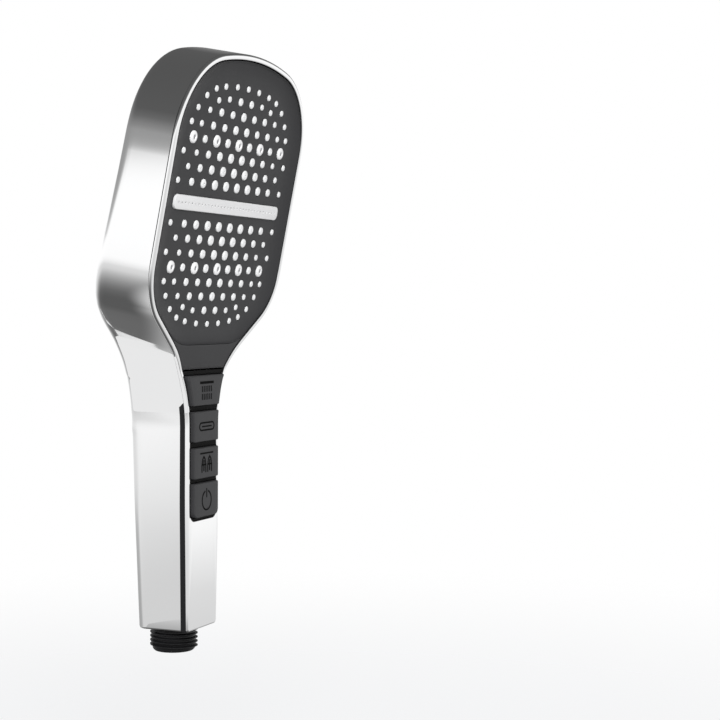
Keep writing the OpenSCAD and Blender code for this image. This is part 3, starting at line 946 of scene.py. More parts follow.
# --- Casing ------------------------------------------------------------------------


@dataclass
class Casing:
    """The plated rear shell, the bezel and the two inlays on the handle."""

    stance: Stance = field(default_factory=Stance)
    wall: float = 0.0020
    edge_r: float = 0.0048
    foot_round: float = 0.0006
    foot_corner: float = 0.0009
    side_rings: int = 12
    edge_rings: int = 9
    back_bulge: float = 0.0004
    neck_low: float = -0.1005
    neck_high: float = -0.0620
    seam_gap: float = 0.00038
    shadow_cord_inset: Flat = (0.0004, 0.0012)
    crease_front: Flat = (-0.0093, 0.1145)
    crease_back: Flat = (0.0123, 0.1205)
    crease_dent: tuple[Flat, ...] = ((0.0, 0.0), (0.0002, 0.00012), (0.00045, 0.00028), (0.001, 0.00036),
                                     (0.003, 0.00028), (0.009, 0.0))
    crease_end: Flat = (0.0175, 0.1245)
    crease_reach: float = 0.013
    crease_fade: float = 0.004
    crease_rows: tuple[float, ...] = (-0.0016, -0.0010, -0.00045, -0.0002, 0.0, 0.0004, 0.0010)
    crease_clear: float = 0.0019
    gap_v: tuple[float, ...] = (-0.034, -0.024, 0.034, 0.044)
    gap_least: float = 0.2
    strip_y: Flat = (-0.0129, -0.0103)
    strip_top: Flat = (0.110, 0.108)
    strip_proud: float = 0.00008
    rim_round: float = 0.0009
    lip_round: float = 0.00035
    bezel_deep: float = 0.0039
    ledge_w: float = 0.0008
    seat_w: float = 0.0011
    key_bottom: float = 0.0583
    key_corner: float = 0.004

    def rows(self) -> list[Row]:
        """Return the steps round the right half of the body, from the foot's middle to the crown.

        Returns:
            The steps in order.
        """
        s = self.stance
        foot_v = s.face_v(s.foot_z)
        rows = [Row("foot", share=k / 5) for k in range(5)]
        rows += [Row("corner", share=k / 3) for k in range(4)]
        low = foot_v + self.foot_corner
        sides = np.linspace(low, s.face_v(self.key_bottom + self.key_corner), 7)[1:]
        rows += [Row("side", v=float(v)) for v in sides]
        rows += [Row("side", v=float(v)) for v in np.linspace(sides[-1], self.neck_low, 6)[1:]]
        crease_v = s.face_v(self.crease_front[1])
        near = [crease_v + step for step in self.crease_rows]
        even = [v for v in np.linspace(self.neck_low, self.neck_high, 32)[1:]
                if abs(v - crease_v) > self.crease_clear]
        rows += [Row("side", v=float(v)) for v in sorted([*near, *even])]
        rows += [Row("shoulder", share=k / 4) for k in range(4)]
        rows += [Row("head", index=k) for k in range(len(s.outline.head_part(0.0)))]
        return rows

    def outer_spot(self, row: Row, inset: float, foot_inset: float, shear: float = 0.0) -> Flat:
        """Return where a row lies on the front view of the body.

        Args:
            row: The row.
            inset: How far inside the outer surface, on the sides and the head.
            foot_inset: How far above the foot.
            shear: How far the row is moved up.

        Returns:
            Its x and its unrolled height.
        """
        s = self.stance
        e = s.outline.rim_w - inset
        foot_v = s.face_v(s.foot_z) + foot_inset
        width = s.foot_hw - inset
        if row.kind == "foot":
            return (width - self.foot_corner) * row.share, foot_v
        if row.kind == "corner":
            turn = math.radians(-90 + 90 * row.share)
            return (width - self.foot_corner * (1 - math.cos(turn)),
                    foot_v + self.foot_corner * (1 + math.sin(turn)))
        if row.kind == "side":
            v = row.v + shear
            return s.side_x(v, inset), v
        if row.kind == "shoulder":
            low = s.outline.neck_part(e, s.grip - inset)[-1]
            high = s.outline.shoulder_point(e)
            return (low[0] + (high[0] - low[0]) * row.share, low[1] + (high[1] - low[1]) * row.share)
        return s.outline.head_part(e)[row.index]

    def opening_spots(self, e: float) -> list[Flat]:
        """Return the rows' places on the edge of the opening, e outside it.

        Args:
            e: How far outside the opening.

        Returns:
            A place for every row.
        """
        s = self.stance
        bottom = s.face_v(self.key_bottom) - e
        radius = self.key_corner + e
        flat_x = s.opening_grip + e - radius
        lower = [(flat_x * k / 6, bottom) for k in range(6)]
        lower += arc((flat_x, bottom + radius), radius, -90, 0, 8)
        spots = []
        neck = s.outline.neck_part(e, s.opening_grip + e)
        vs, xs = [-1.0, *[p[1] for p in neck]], [s.opening_grip + e, *[p[0] for p in neck]]
        for number, row in enumerate(self.rows()):
            if number < len(lower):
                spots.append(lower[number])
            elif row.kind == "side":
                spots.append((float(np.interp(row.v, vs, xs)), row.v))
            elif row.kind == "shoulder":
                high = s.outline.shoulder_point(e)
                spots.append(tuple(a + (b - a) * row.share for a, b in zip(neck[-1], high)))
            else:
                spots.append(s.outline.head_part(e)[row.index])
        return spots

    def crease(self, v: float, y: float) -> tuple[float, float]:
        """Return how far a neck row is moved up to follow the crease, and the crease's height.

        Args:
            v: The row's unrolled height.
            y: How far back the point lies.

        Returns:
            The shift and the crease's height.
        """
        line = float(np.interp(y, *zip(self.crease_front, self.crease_back, self.crease_end)))
        middle = self.stance.face_v(self.crease_front[1])
        start, way, _ = self.stance.ruling(middle)
        plain = start.y + (y - start.x) * way.y / way.x
        share = float(np.clip(1.0 - abs(v - middle) / self.crease_reach, 0.0, 1.0))
        return (line - plain) * share * share * (3 - 2 * share), line

    def shell_ring(self, depth_of: Callable[[float, float], float], inset: float,
                   foot_inset: float) -> list[tuple]:
        """Return a ring of the shell's wall.

        Args:
            depth_of: Gives a row's depth behind the front from its height and its ruling's length.
            inset: How far inside the outer surface the ring lies.
            foot_inset: How far above the foot.

        Returns:
            The ring's points, both sides.
        """
        half = []
        for row in self.rows():
            shear, line = 0.0, 0.0
            if row.kind == "side" and row.v > self.neck_low:
                start, way, length = self.stance.ruling(row.v)
                shear, line = self.crease(row.v, start.x + way.x * depth_of(row.v, length))
            x, v = self.outer_spot(row, inset, foot_inset, shear)
            start, way, length = self.stance.ruling(v)
            spot = start + way * depth_of(v, length)
            below = line - spot.y
            if line and below > 0:
                fade = float(np.clip((spot.x - self.crease_front[0]) / self.crease_fade, 0.0, 1.0))
                x -= fade * float(np.interp(below, *zip(*self.crease_dent)))
            half.append((x, spot.x, spot.y))
        return both_sides(half)

    def gap_at(self, v: float) -> float:
        """Return the seam's open width at a height."""
        return self.seam_gap * float(np.interp(v, self.gap_v, [self.gap_least, 1.0, 1.0, self.gap_least]))

    def build_seam_shadow_cord(self) -> bpy.types.Object:
        """Return the black cord in the seam between bezel and shell, which paints the shadow in the seam's
        gap.

        Returns:
            The cord.
        """
        near, far = self.shadow_cord_inset

        def front(v: float, length: float) -> float:
            """Return the depth of the cord's front."""
            return self.stance.seam_depth(v)

        def back(v: float, length: float) -> float:
            """Return the depth of the cord's back."""
            return self.stance.seam_depth(v) + self.gap_at(v)

        plan = ((front, near), (back, near), (back, far), (front, far))
        rings = [self.shell_ring(depth_of, inset, inset) for depth_of, inset in plan]
        points, faces = loft(rings, closed_ends=True)
        return new_piece("seam_cord", points, faces, 30)

    def shell_rings(self, inner: float) -> list[list[tuple]]:
        """Return the rings of the outer surface, or of the inner one, from the seam to the back.

        Args:
            inner: How far inside the outer surface, 0 for the outer one.

        Returns:
            The rings in order.
        """
        s = self.stance
        rings = []
        radius = self.edge_r - inner / 2
        for k in range(self.side_rings + 1):
            share = k / self.side_rings

            def side(v: float, length: float, share: float = share) -> float:
                """Return the depth of a ring on the straight side."""
                first = s.seam_depth(v) + self.gap_at(v)
                return first + (length - inner - radius - first) * share

            rings.append(self.shell_ring(side, inner, inner))
        for k in range(1, self.edge_rings + 1):
            turn = math.radians(90 * k / self.edge_rings)

            def edge(v: float, length: float, turn: float = turn) -> float:
                """Return the depth of a ring on the rounded back edge."""
                return length - inner - radius + radius * math.sin(turn)

            drop = 1 - math.cos(turn)
            rings.append(self.shell_ring(edge, inner + radius * drop, inner + self.foot_round * drop))
        return rings

    def build_shell(self) -> bpy.types.Object:
        """Return the rear shell as a wall of even thickness.

        Returns:
            The shell.
        """
        outer = self.shell_rings(0.0)
        inner = self.shell_rings(self.wall)
        out = Vector((0.0, self.back_bulge, 0.0))
        return solid_from("chrome_rear_shell", [*inner[::-1], *outer], out, out, columns=12, smooth_angle=50)

    def build_bezel(self) -> bpy.types.Object:
        """Return the bezel: a rounded rim round the opening and the handle's front below the keys.

        Returns:
            The bezel.
        """
        s = self.stance
        outer = [self.outer_spot(row, 0.0, 0.0) for row in self.rows()]
        inner = self.opening_spots(0.0)

        def ring(level: Callable[[float], float], share: Callable[[float], float]) -> list[tuple]:
            """Return one ring of the bezel.

            Args:
                level: Gives the depth behind the front from the height.
                share: Gives the share of the way out from the bezel's width.

            Returns:
                The ring's points, both sides.
            """
            half = []
            for a, b in zip(inner, outer):
                t = share(math.dist(a, b))
                x, v = a[0] + (b[0] - a[0]) * t, a[1] + (b[1] - a[1]) * t
                start, way, _ = s.ruling(v)
                spot = start + way * level(v)
                half.append((x, spot.x, spot.y))
            return both_sides(half)

        rings = [ring(s.seam_depth, lambda w: 1.0)]
        for k in range(7):
            turn = math.radians(90 * k / 6)
            rise, run = 1 - math.sin(turn), 1 - math.cos(turn)
            rings.append(ring(lambda v, r=rise: self.rim_round * r,
                              lambda w, r=run: 1 - self.rim_round * r / w))
        for k in range(5):
            turn = math.radians(90 * k / 4)
            fall, run = 1 - math.cos(turn), 1 - math.sin(turn)
            rings.append(ring(lambda v, f=fall: self.lip_round * f,
                              lambda w, r=run: self.lip_round * r / w))
        rings.append(ring(lambda v: self.bezel_deep, lambda w: 0.0))
        rings.append(ring(lambda v: self.bezel_deep, lambda w: min(0.5, self.ledge_w / w)))
        rings.append(ring(s.seam_depth, lambda w: min(0.6, self.seat_w / w)))
        points, faces = loft(rings, closed_ends=True)
        return new_piece("chrome_bezel", points, faces, 50)

    def build_strip(self, side: int) -> bpy.types.Object:
        """Return one inlay, with a low ridge down its middle.

        Args:
            side: 1 for the right side and -1 for the left.

        Returns:
            The inlay as a closed bar.
        """
        s = self.stance
        front, back = self.strip_y
        middle = (front + back) / 2
        section = [(front, -0.0008), (front, 0.0), (front + 0.0001, 1.0), (middle - 0.00028, 1.0),
                   (middle - 0.00012, 1.9), (middle + 0.00012, 1.9), (middle + 0.00028, 1.0),
                   (back - 0.0001, 1.0), (back, 0.0), (back, -0.0008)]
        rings = []
        for k in range(25):
            ring = []
            for y, rise in section:
                top = float(np.interp(y, self.strip_y, self.strip_top))
                low = s.foot_z + 0.0001
                z = low + (top - low) * k / 24
                lift = rise if rise < 0 else rise * self.strip_proud
                narrow = 0.15 * MM * max(0.0, (z - 0.07) / 0.04)
                ring.append((side * (s.side_x(s.face_v(z), 0.0) + lift),
                             y - (narrow if y > middle else 0.0), z))
            rings.append(ring)
        points, faces = loft(rings)
        count = len(section)
        faces += [list(range(count)), [len(points) - 1 - k for k in range(count)]]
        return new_piece("black_inlay_" + ("right" if side > 0 else "left"), points, faces, 30)

    def build(self) -> None:
        """Make and dress the casing."""
        place(CHROME.dress(self.build_shell()), "root", CHROME, "rear_shell")
        place(CHROME.dress(self.build_bezel()), "root", CHROME, "front_bezel")
        # The black seam cord is painted shadow in the gap between bezel and shell.
        place(SEAL_AND_SEAM_SHADOW.dress(self.build_seam_shadow_cord()), "root", SEAL_AND_SEAM_SHADOW)
        place(STRIP.dress(self.build_strip(-1)), "root", STRIP, "trim_strip_left")
        place(STRIP.dress(self.build_strip(1)), "root", STRIP, "trim_strip_right")


# --- Spray face ------------------------------------------------------------------------


@dataclass
class SprayFace:
    """The dished plate, its nozzles and the blade bar, made in the face's plane."""

    stance: Stance = field(default_factory=Stance)
    lip_w: float = -0.0003
    floor_w: float = -0.0024
    back_w: float = -0.0040
    edge: float = -0.0005
    climb: float = 0.0095
    climb_power: float = 2.2
    lip_land: float = 0.0006
    lip_drop: float = 0.00025
    sheet_inset: float = 0.0075
    sheet_v: float = 0.0050
    sheet_w: Flat = (-0.0055, -0.0041)
    pitch: float = 0.01035
    row_pitch: float = 0.00609
    first_row: float = 0.00876
    ring_size: float = 0.0053
    nub_gap: float = 0.0005
    bar_size: Flat = (0.0974, 0.0062)
    bar_corner: float = 0.0026
    bar_w: float = -0.0015
    bar_holes: int = 32
    bar_hole: float = 0.0010
    bar_hole_pitch: float = 0.00293

    def spots(self) -> list[Spot]:
        """Return every nozzle above and below the bar, as x, v and diameter.

        Returns:
            The nozzles.
        """
        big, large, medium, small, ring = 0.0043, 0.0039, 0.0034, 0.0027, self.ring_size
        rows = [
            [(0.5, big, 0), (1.5, big, 0), (2.5, large, 0), (3.5, medium, 0), (4.63, small, 0)],
            [(0, big, 0), (1, big, 0), (2, large, 0), (3, medium, 0), (4, small, 0)],
            [(0.5, big, 0), (1.5, large, 0), (2.5, medium, 0), (3.5, small, 0), (4.59, small, 0)],
            [(0, ring, 0), (1, large, 0), (2, ring, 0), (3, medium, 0), (4, ring, 0)],
            [(0.5, large, 0), (1.5, medium, 0), (2.5, medium, 0), (3.5, small, 0), (4.34, small, 0)],
            [(0, large, 0), (1, medium, 0), (2, medium, 0), (3, small, 0), (4, small, 0)],
            [(0.5, medium, 0), (1.5, small, 0), (2.4, small, 1.4), (3.46, small, 0.5)],
            [(0, small, 0), (1, small, 0.3), (2, small, 1.3), (2.78, small, 3)],
        ]
        found = []
        for number, row in enumerate(rows):
            for column, size, drop in row:
                v = self.first_row + number * self.row_pitch - drop * MM
                for side in (1,) if column == 0 else (-1, 1):
                    found += [(side * column * self.pitch, v, size), (side * column * self.pitch, -v, size)]
        return found

    def bar_outline(self, grow: float) -> list[Flat]:
        """Return the right half of the bar's outline, grow wider all round.

        Args:
            grow: How much wider.

        Returns:
            The points in order.
        """
        hx, hy = self.bar_size[0] / 2 + grow, self.bar_size[1] / 2 + grow
        r = self.bar_corner + grow
        return [(0.0, -hy), (hx / 2, -hy), *arc((hx - r, r - hy), r, -90, 0, 8),
                *arc((hx - r, hy - r), r, 0, 90, 8), (hx / 2, hy), (0.0, hy)]

    def dish_level(self, e: float) -> float:
        """Return the plate's height at a distance inside the opening's edge.

        Args:
            e: How far outside the opening's edge, below 0 inside it.

        Returns:
            The plate's height.
        """
        inside = (self.edge - e - self.lip_land) / self.climb
        share = min(1.0, max(0.0, 1 - inside))
        return self.floor_w + (self.lip_w - self.lip_drop - self.floor_w) * share**self.climb_power

    def build_dish(self) -> bpy.types.Object:
        """Return the dish as a solid, not yet drilled.

        Returns:
            The dish.
        """
        outline = self.stance.outline
        lip = 0.0003
        levels = [(self.edge, self.back_w)]
        for k in range(5):
            turn = math.radians(90 * k / 4)
            levels.append((self.edge - lip * (1 - math.cos(turn)), self.lip_w - lip * (1 - math.sin(turn))))
        levels.append((self.edge - 0.00045, self.lip_w - 0.0001))
        for k in range(13):
            e = self.edge - self.lip_land - self.climb * k / 12
            levels.append((e, self.dish_level(e)))
        rings = [both_sides([(x, v, w) for x, v in outline.dish(e)]) for e, w in levels]
        return solid_from("plate_dish", rings, Vector(), Vector(), columns=8, smooth_angle=35)

    def build_neck_panel(self) -> bpy.types.Object:
        """Return the flat part of the plate that fills the neck below the dish.

        Returns:
            The panel.
        """
        s = self.stance
        outline = s.outline
        top = [p for p in outline.dish(self.edge + 0.00012) if p[1] < outline.shoulder_point(0)[1] - 0.002]
        side_x = max(p[0] for p in top)
        low_v = -s.bar_up + 0.0003
        neck = outline.neck_part(self.edge, s.opening_grip + self.edge)
        vs = [p[1] for p in neck] + [outline.shoulder_point(self.edge)[1]]
        xs = [p[0] for p in neck] + [outline.shoulder_point(self.edge)[0]]
        steps, columns = 10, 14
        top_v = top[-1][1]
        points, faces = [], []
        for level in (self.lip_w, self.back_w):
            for k in range(steps + 1):
                edge_v = top_v + (low_v - top_v) * k / steps
                edge_x = float(np.interp(edge_v, vs, xs))
                for i in range(2 * columns + 1):
                    share = i / columns - 1
                    crest = float(np.interp(abs(share) * side_x, [p[0] for p in top], [p[1] for p in top]))
                    v = crest + (low_v - crest) * k / steps
                    points.append((share * edge_x, v, level))
        width = 2 * columns + 1
        plane = (steps + 1) * width
        for k in range(steps):
            for i in range(width - 1):
                a = k * width + i
                quad = [a, a + 1, a + width + 1, a + width]
                faces += [quad, [plane + q for q in quad[::-1]]]
        border = [*range(width), *[k * width + width - 1 for k in range(1, steps + 1)],
                  *[steps * width + i for i in range(width - 2, -1, -1)],
                  *[k * width for k in range(steps - 1, 0, -1)]]
        for a, b in zip(border, border[1:] + border[:1]):
            faces.append([a, b, plane + b, plane + a])
        piece = new_piece("plate_neck", points, faces, 35)
        bevel = piece.modifiers.new("edge", "BEVEL")
        bevel.width = 0.00025
        bevel.segments = 2
        bevel.limit_method = "ANGLE"
        bevel.angle_limit = math.radians(50)
        return applied(piece)

    def nozzle_shape(self, hollow: float) -> bpy.types.Object:
        """Return a nozzle of unit width with a sunk jet hole, hollow wide."""
        profile = [(0.5, -0.34), (0.5, 0.07), (0.44, 0.135), (0.3, 0.165), (hollow, 0.165),
                   (hollow * 0.8, 0.05)]
        return turned("nozzle_shape", profile, smooth_angle=50)

    def build_nozzles(self) -> None:
        """Make the soft nozzles above and below the bar, and the ring nozzles."""
        matrix = self.stance.face_matrix()
        soft = [s for s in self.spots() if s[2] < self.ring_size]
        rings = [s for s in self.spots() if s[2] == self.ring_size]
        for name, sign in (("upper", 1), ("lower", -1)):
            some = [s for s in soft if s[1] * sign > 0]
            made = stamped("nozzles_" + name, some, self.floor_w, self.nozzle_shape(0.1), NUB)
            sheet = self.sheet(sign)
            # The dark sheet shows only in the gaps round the nozzles, as painted shadow.
            made = join_pieces("soft_nozzles_" + name, [made, GAP_SHADOW_SHEET.dress(sheet)])
            made.data.transform(matrix)
            place(made, "root", NUB, "nozzle_sheet_" + name)
        made = stamped("ring_nozzles", rings, self.floor_w, self.nozzle_shape(0.24), RING)
        cups = stamped("ring_cups", rings, self.floor_w, self.cup_shape(), RING_CUP)
        made = join_pieces("massage_ring_nozzles", [made, cups])
        made.data.transform(matrix)
        place(made, "root", RING, "massage_nozzles")

    def cup_shape(self) -> bpy.types.Object:
        """Return the grey floor of a ring nozzle's cup, for a nozzle of unit width."""
        return turned("cup_shape", [(0.21, 0.03), (0.21, 0.075)])

    def sheet(self, sign: int) -> bpy.types.Object:
        """Return the sheet behind the plate that carries one half of the nozzles.

        Args:
            sign: 1 for the upper half and -1 for the lower.

        Returns:
            The sheet.
        """
        half = [(x, v) for x, v in self.stance.outline.dish(-self.sheet_inset) if v * sign > self.sheet_v]
        edge = [(x, sign * self.sheet_v) for x in (0.0, 0.025, half[0 if sign > 0 else -1][0])]
        half = [*edge, *half] if sign > 0 else [*half, *edge[::-1]]
        rings = [both_sides([(x, v, w) for x, v in half]) for w in self.sheet_w]
        return solid_from("nozzle_sheet", rings, Vector(), Vector(), columns=4)

    def build_bar(self) -> bpy.types.Object:
        """Return the blade bar with its row of jet holes.

        Returns:
            The drilled bar.
        """
        round_r = 0.0004
        levels = [(0.0, self.floor_w - 0.0031)]
        for k in range(5):
            turn = math.radians(90 * k / 4)
            levels.append((-round_r * (1 - math.cos(turn)), self.bar_w - round_r * (1 - math.sin(turn))))
        rings = [both_sides([(x, v, w) for x, v in self.bar_outline(e)]) for e, w in levels]
        blank = solid_from("blade_bar_solid", rings, Vector(), Vector(), columns=4, smooth_angle=50)
        first = -(self.bar_holes - 1) / 2 * self.bar_hole_pitch
        holes = [(first + k * self.bar_hole_pitch, 0.0, self.bar_hole) for k in range(self.bar_holes)]
        return pierced(blank, holes, 0.0, BAR)

    def build(self) -> None:
        """Make and dress the spray face."""
        matrix = self.stance.face_matrix()
        dish = self.build_dish()
        slot_half = self.bar_outline(self.nub_gap / 2)
        slot_rings = [both_sides([(x, v, w) for x, v in slot_half]) for w in (-0.006, 0.002)]
        slot = solid_from("bar_slot", slot_rings, Vector(), Vector(), columns=4)
        cut = dish.modifiers.new("slot", "BOOLEAN")
        cut.object = slot
        cut.operation = "DIFFERENCE"
        cut.solver = "EXACT"
        dish = applied(dish)
        bpy.data.objects.remove(slot)
        dish = pierced(dish, self.spots(), self.nub_gap, PLATE)
        plate = join_pieces("spray_plate", [dish, PLATE.dress(self.build_neck_panel())])
        plate.data.transform(matrix)
        place(PLATE.dress(plate), "root", PLATE, "face_plate")
        self.build_nozzles()
        bar = self.build_bar()
        bar.name = "blade_spray_bar"
        bar.data.transform(matrix)
        place(bar, "root", BAR, "blade_bar")


def applied(piece: bpy.types.Object) -> bpy.types.Object:
    """Turn a piece's modifiers into mesh.

    Args:
        piece: The piece.

    Returns:
        The same piece.
    """
    bpy.context.view_layer.update()
    graph = bpy.context.evaluated_depsgraph_get()
    mesh = bpy.data.meshes.new_from_object(piece.evaluated_get(graph))
    piece.modifiers.clear()
    piece.data = mesh
    return tidy_mesh(piece, 35.0)


# --- Keys ----------------------------------------------------------------------------------


class Mode(Enum):
    """What each key does, named as its nodes are."""

    RAIN = "rain"
    BLADE = "blade"
    MASSAGE = "massage"
    STOP = "stop"


@dataclass
class KeyPad:
    """The four press keys and the marks on them."""

    stance: Stance = field(default_factory=Stance)
    inset: float = 0.00135
    corner: float = 0.0007
    bottom_corner: float = 0.00265
    edge_r: float = 0.00045
    mark_rise: float = 0.00006
    line: float = 0.0007

    def key_half(self, low: float, high: float, low_r: float) -> list[Flat]:
        """Return the right half of a key's front, from its lower to its upper middle.

        Args:
            low: Its lower height.
            high: Its upper height.
            low_r: The radius of its lower corners.

        Returns:
            Points as x and z.
        """
        s = self.stance
        grip = s.opening_grip - self.inset
        neck = s.outline.neck_part(-self.inset, grip)
        lift = s.bend_z + s.bar_up
        vs, xs = [-1.0, *[p[1] for p in neck]], [grip, *[p[0] for p in neck]]

        def side(z: float) -> float:
            """Return the key's half width at a height."""
            return float(np.interp(z - lift, vs, xs))

        bottom, top = side(low), side(high)
        half = [(bottom * k / 4, low) for k in range(3)]
        half += arc((bottom - low_r, low + low_r), low_r, -90, 0, 6)
        heights = np.linspace(low + low_r, high - self.corner, 8)[1:-1]
        half += [(side(float(z)), float(z)) for z in heights]
        half += arc((top - self.corner, high - self.corner), self.corner, 0, 90, 5)
        half += [(top * k / 4, high) for k in (2, 1, 0)]
        return half

    def build_key(self, mode: Mode) -> bpy.types.Object:
        """Return a key with softly rounded edges.

        Args:
            mode: Which key.

        Returns:
            The key's cap.
        """
        node = "key_" + mode.value
        lo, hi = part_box(node)
        lip = 0.00075
        low, high = lo.z + (0.0008 if mode is Mode.STOP else lip), hi.z - lip
        half = self.key_half(low, high, self.bottom_corner if mode is Mode.STOP else self.corner)
        loop = both_sides(half)
        front, back = lo.y, hi.y
        rings = [[(x, back, z) for x, z in loop], [(x, front + self.edge_r, z) for x, z in loop]]
        for k in range(1, 6):
            turn = math.radians(90 * k / 5)
            inner = inset_loop(loop, self.edge_r * (1 - math.cos(turn)))
            rings.append([(x, front + self.edge_r * (1 - math.sin(turn)), z) for x, z in inner])
        return solid_from(node + "_cap", rings, Vector(), Vector(), columns=6, smooth_angle=50)

    def ribbon(self, path: list[Flat], width: float, closed: bool) -> tuple[list[Flat], list[Flat]]:
        """Return the two edges of a flat line of even width.

        Args:
            path: The line's middle.
            width: Its width.
            closed: True where its end meets its start.

        Returns:
            The left and the right edge.
        """
        p = np.array(path, float)
        ahead = np.roll(p, -1, axis=0) - p
        behind = p - np.roll(p, 1, axis=0)
        if not closed:
            ahead[-1] = behind[-1]
            behind[0] = ahead[0]
        ahead /= np.linalg.norm(ahead, axis=1)[:, None]
        behind /= np.linalg.norm(behind, axis=1)[:, None]
        normal = np.stack([-(ahead + behind)[:, 1], (ahead + behind)[:, 0]], axis=1)
        length = np.linalg.norm(normal, axis=1)
        offset = normal / length[:, None] * (width / np.maximum(length, 0.8))[:, None]
        return [tuple(q) for q in p + offset], [tuple(q) for q in p - offset]

    def marks(self, mode: Mode) -> list[tuple[list[Flat], float, bool]]:
        """Return the lines of a key's mark about its middle, as path, width and whether it closes.

        Args:
            mode: Which key.

        Returns:
            The lines.
        """
        thin = self.line
        if mode is Mode.RAIN:
            lines = [([(-0.0063, 0.0034), (0.0063, 0.0034)], 0.0011, False)]
            for low in (-0.0041, -0.0007):
                for k in range(6):
                    x = (k - 2.5) * 0.0017
                    lines.append(([(x, low), (x, low + 0.0026)], 0.0007, False))
            return lines
        if mode is Mode.BLADE:
            r, hx = 0.0016, 0.0067
            loop = [*arc((hx - r, 0), r, -90, 90, 8), *arc((r - hx, 0), r, 90, 270, 8)]
            return [(loop, thin, True), ([(-0.0044, 0), (0.0044, 0)], 0.0006, False)]
        if mode is Mode.MASSAGE:
            lines = [([(-0.006, 0.0042), (0.006, 0.0042)], 0.0007, False)]
            for x in (-0.0027, 0.0027):
                tip = [(x - 0.0018, -0.0042), (x - 0.0018, -0.001), (x - 0.0011, 0.0016), (x, 0.0027),
                       (x + 0.0011, 0.0016), (x + 0.0018, -0.001), (x + 0.0018, -0.0042)]
                lines += [(tip, 0.0008, False), ([(x, -0.0036), (x, 0.0012)], 0.0009, False),
                          ([(x - 0.0016, -0.0008), (x + 0.0016, -0.0008)], 0.0006, False)]
            return lines
        ring = arc((0.0, -0.0003), 0.0042, 108, 432, 28)
        return [(ring, thin, False), ([(0, 0.0009), (0, 0.0049)], thin, False)]

    def build_marks(self, mode: Mode) -> bpy.types.Object:
        """Return a key's mark as thin flat lines on its face.

        Args:
            mode: Which key.

        Returns:
            The mark.
        """
        lo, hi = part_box("key_" + mode.value)
        middle = (lo.z + hi.z) / 2
        front = lo.y
        points, faces = [], []
        for path, width, closed in self.marks(mode):
            left, right = self.ribbon(path, width, closed)
            start, count = len(points), len(path)
            for y in (front + 0.0002, front - self.mark_rise):
                points += [(x, y, z + middle) for x, z in (*left, *right)]
            back, face = start, start + 2 * count
            last = count if closed else count - 1
            for k in range(last):
                j = (k + 1) % count
                faces += [[back + k, back + j, back + count + j, back + count + k],
                          [face + k, face + count + k, face + count + j, face + j],
                          [back + k, face + k, face + j, back + j],
                          [back + count + k, back + count + j, face + count + j, face + count + k]]
            if not closed:
                for k in (0, count - 1):
                    faces.append([back + k, back + count + k, face + count + k, face + k])
        return new_piece("key_mark_" + mode.value, points, faces, 30)

    def build(self) -> None:
        """Make and dress the keys."""
        for mode in Mode:
            body = "key_" + mode.value + "_body"
            place(KEY.dress(self.build_key(mode)), body, KEY, "key_" + mode.value)
            place(ICON.dress(self.build_marks(mode)), body, ICON)


# --- Springs and the hose connection ----------------------------------------------------------


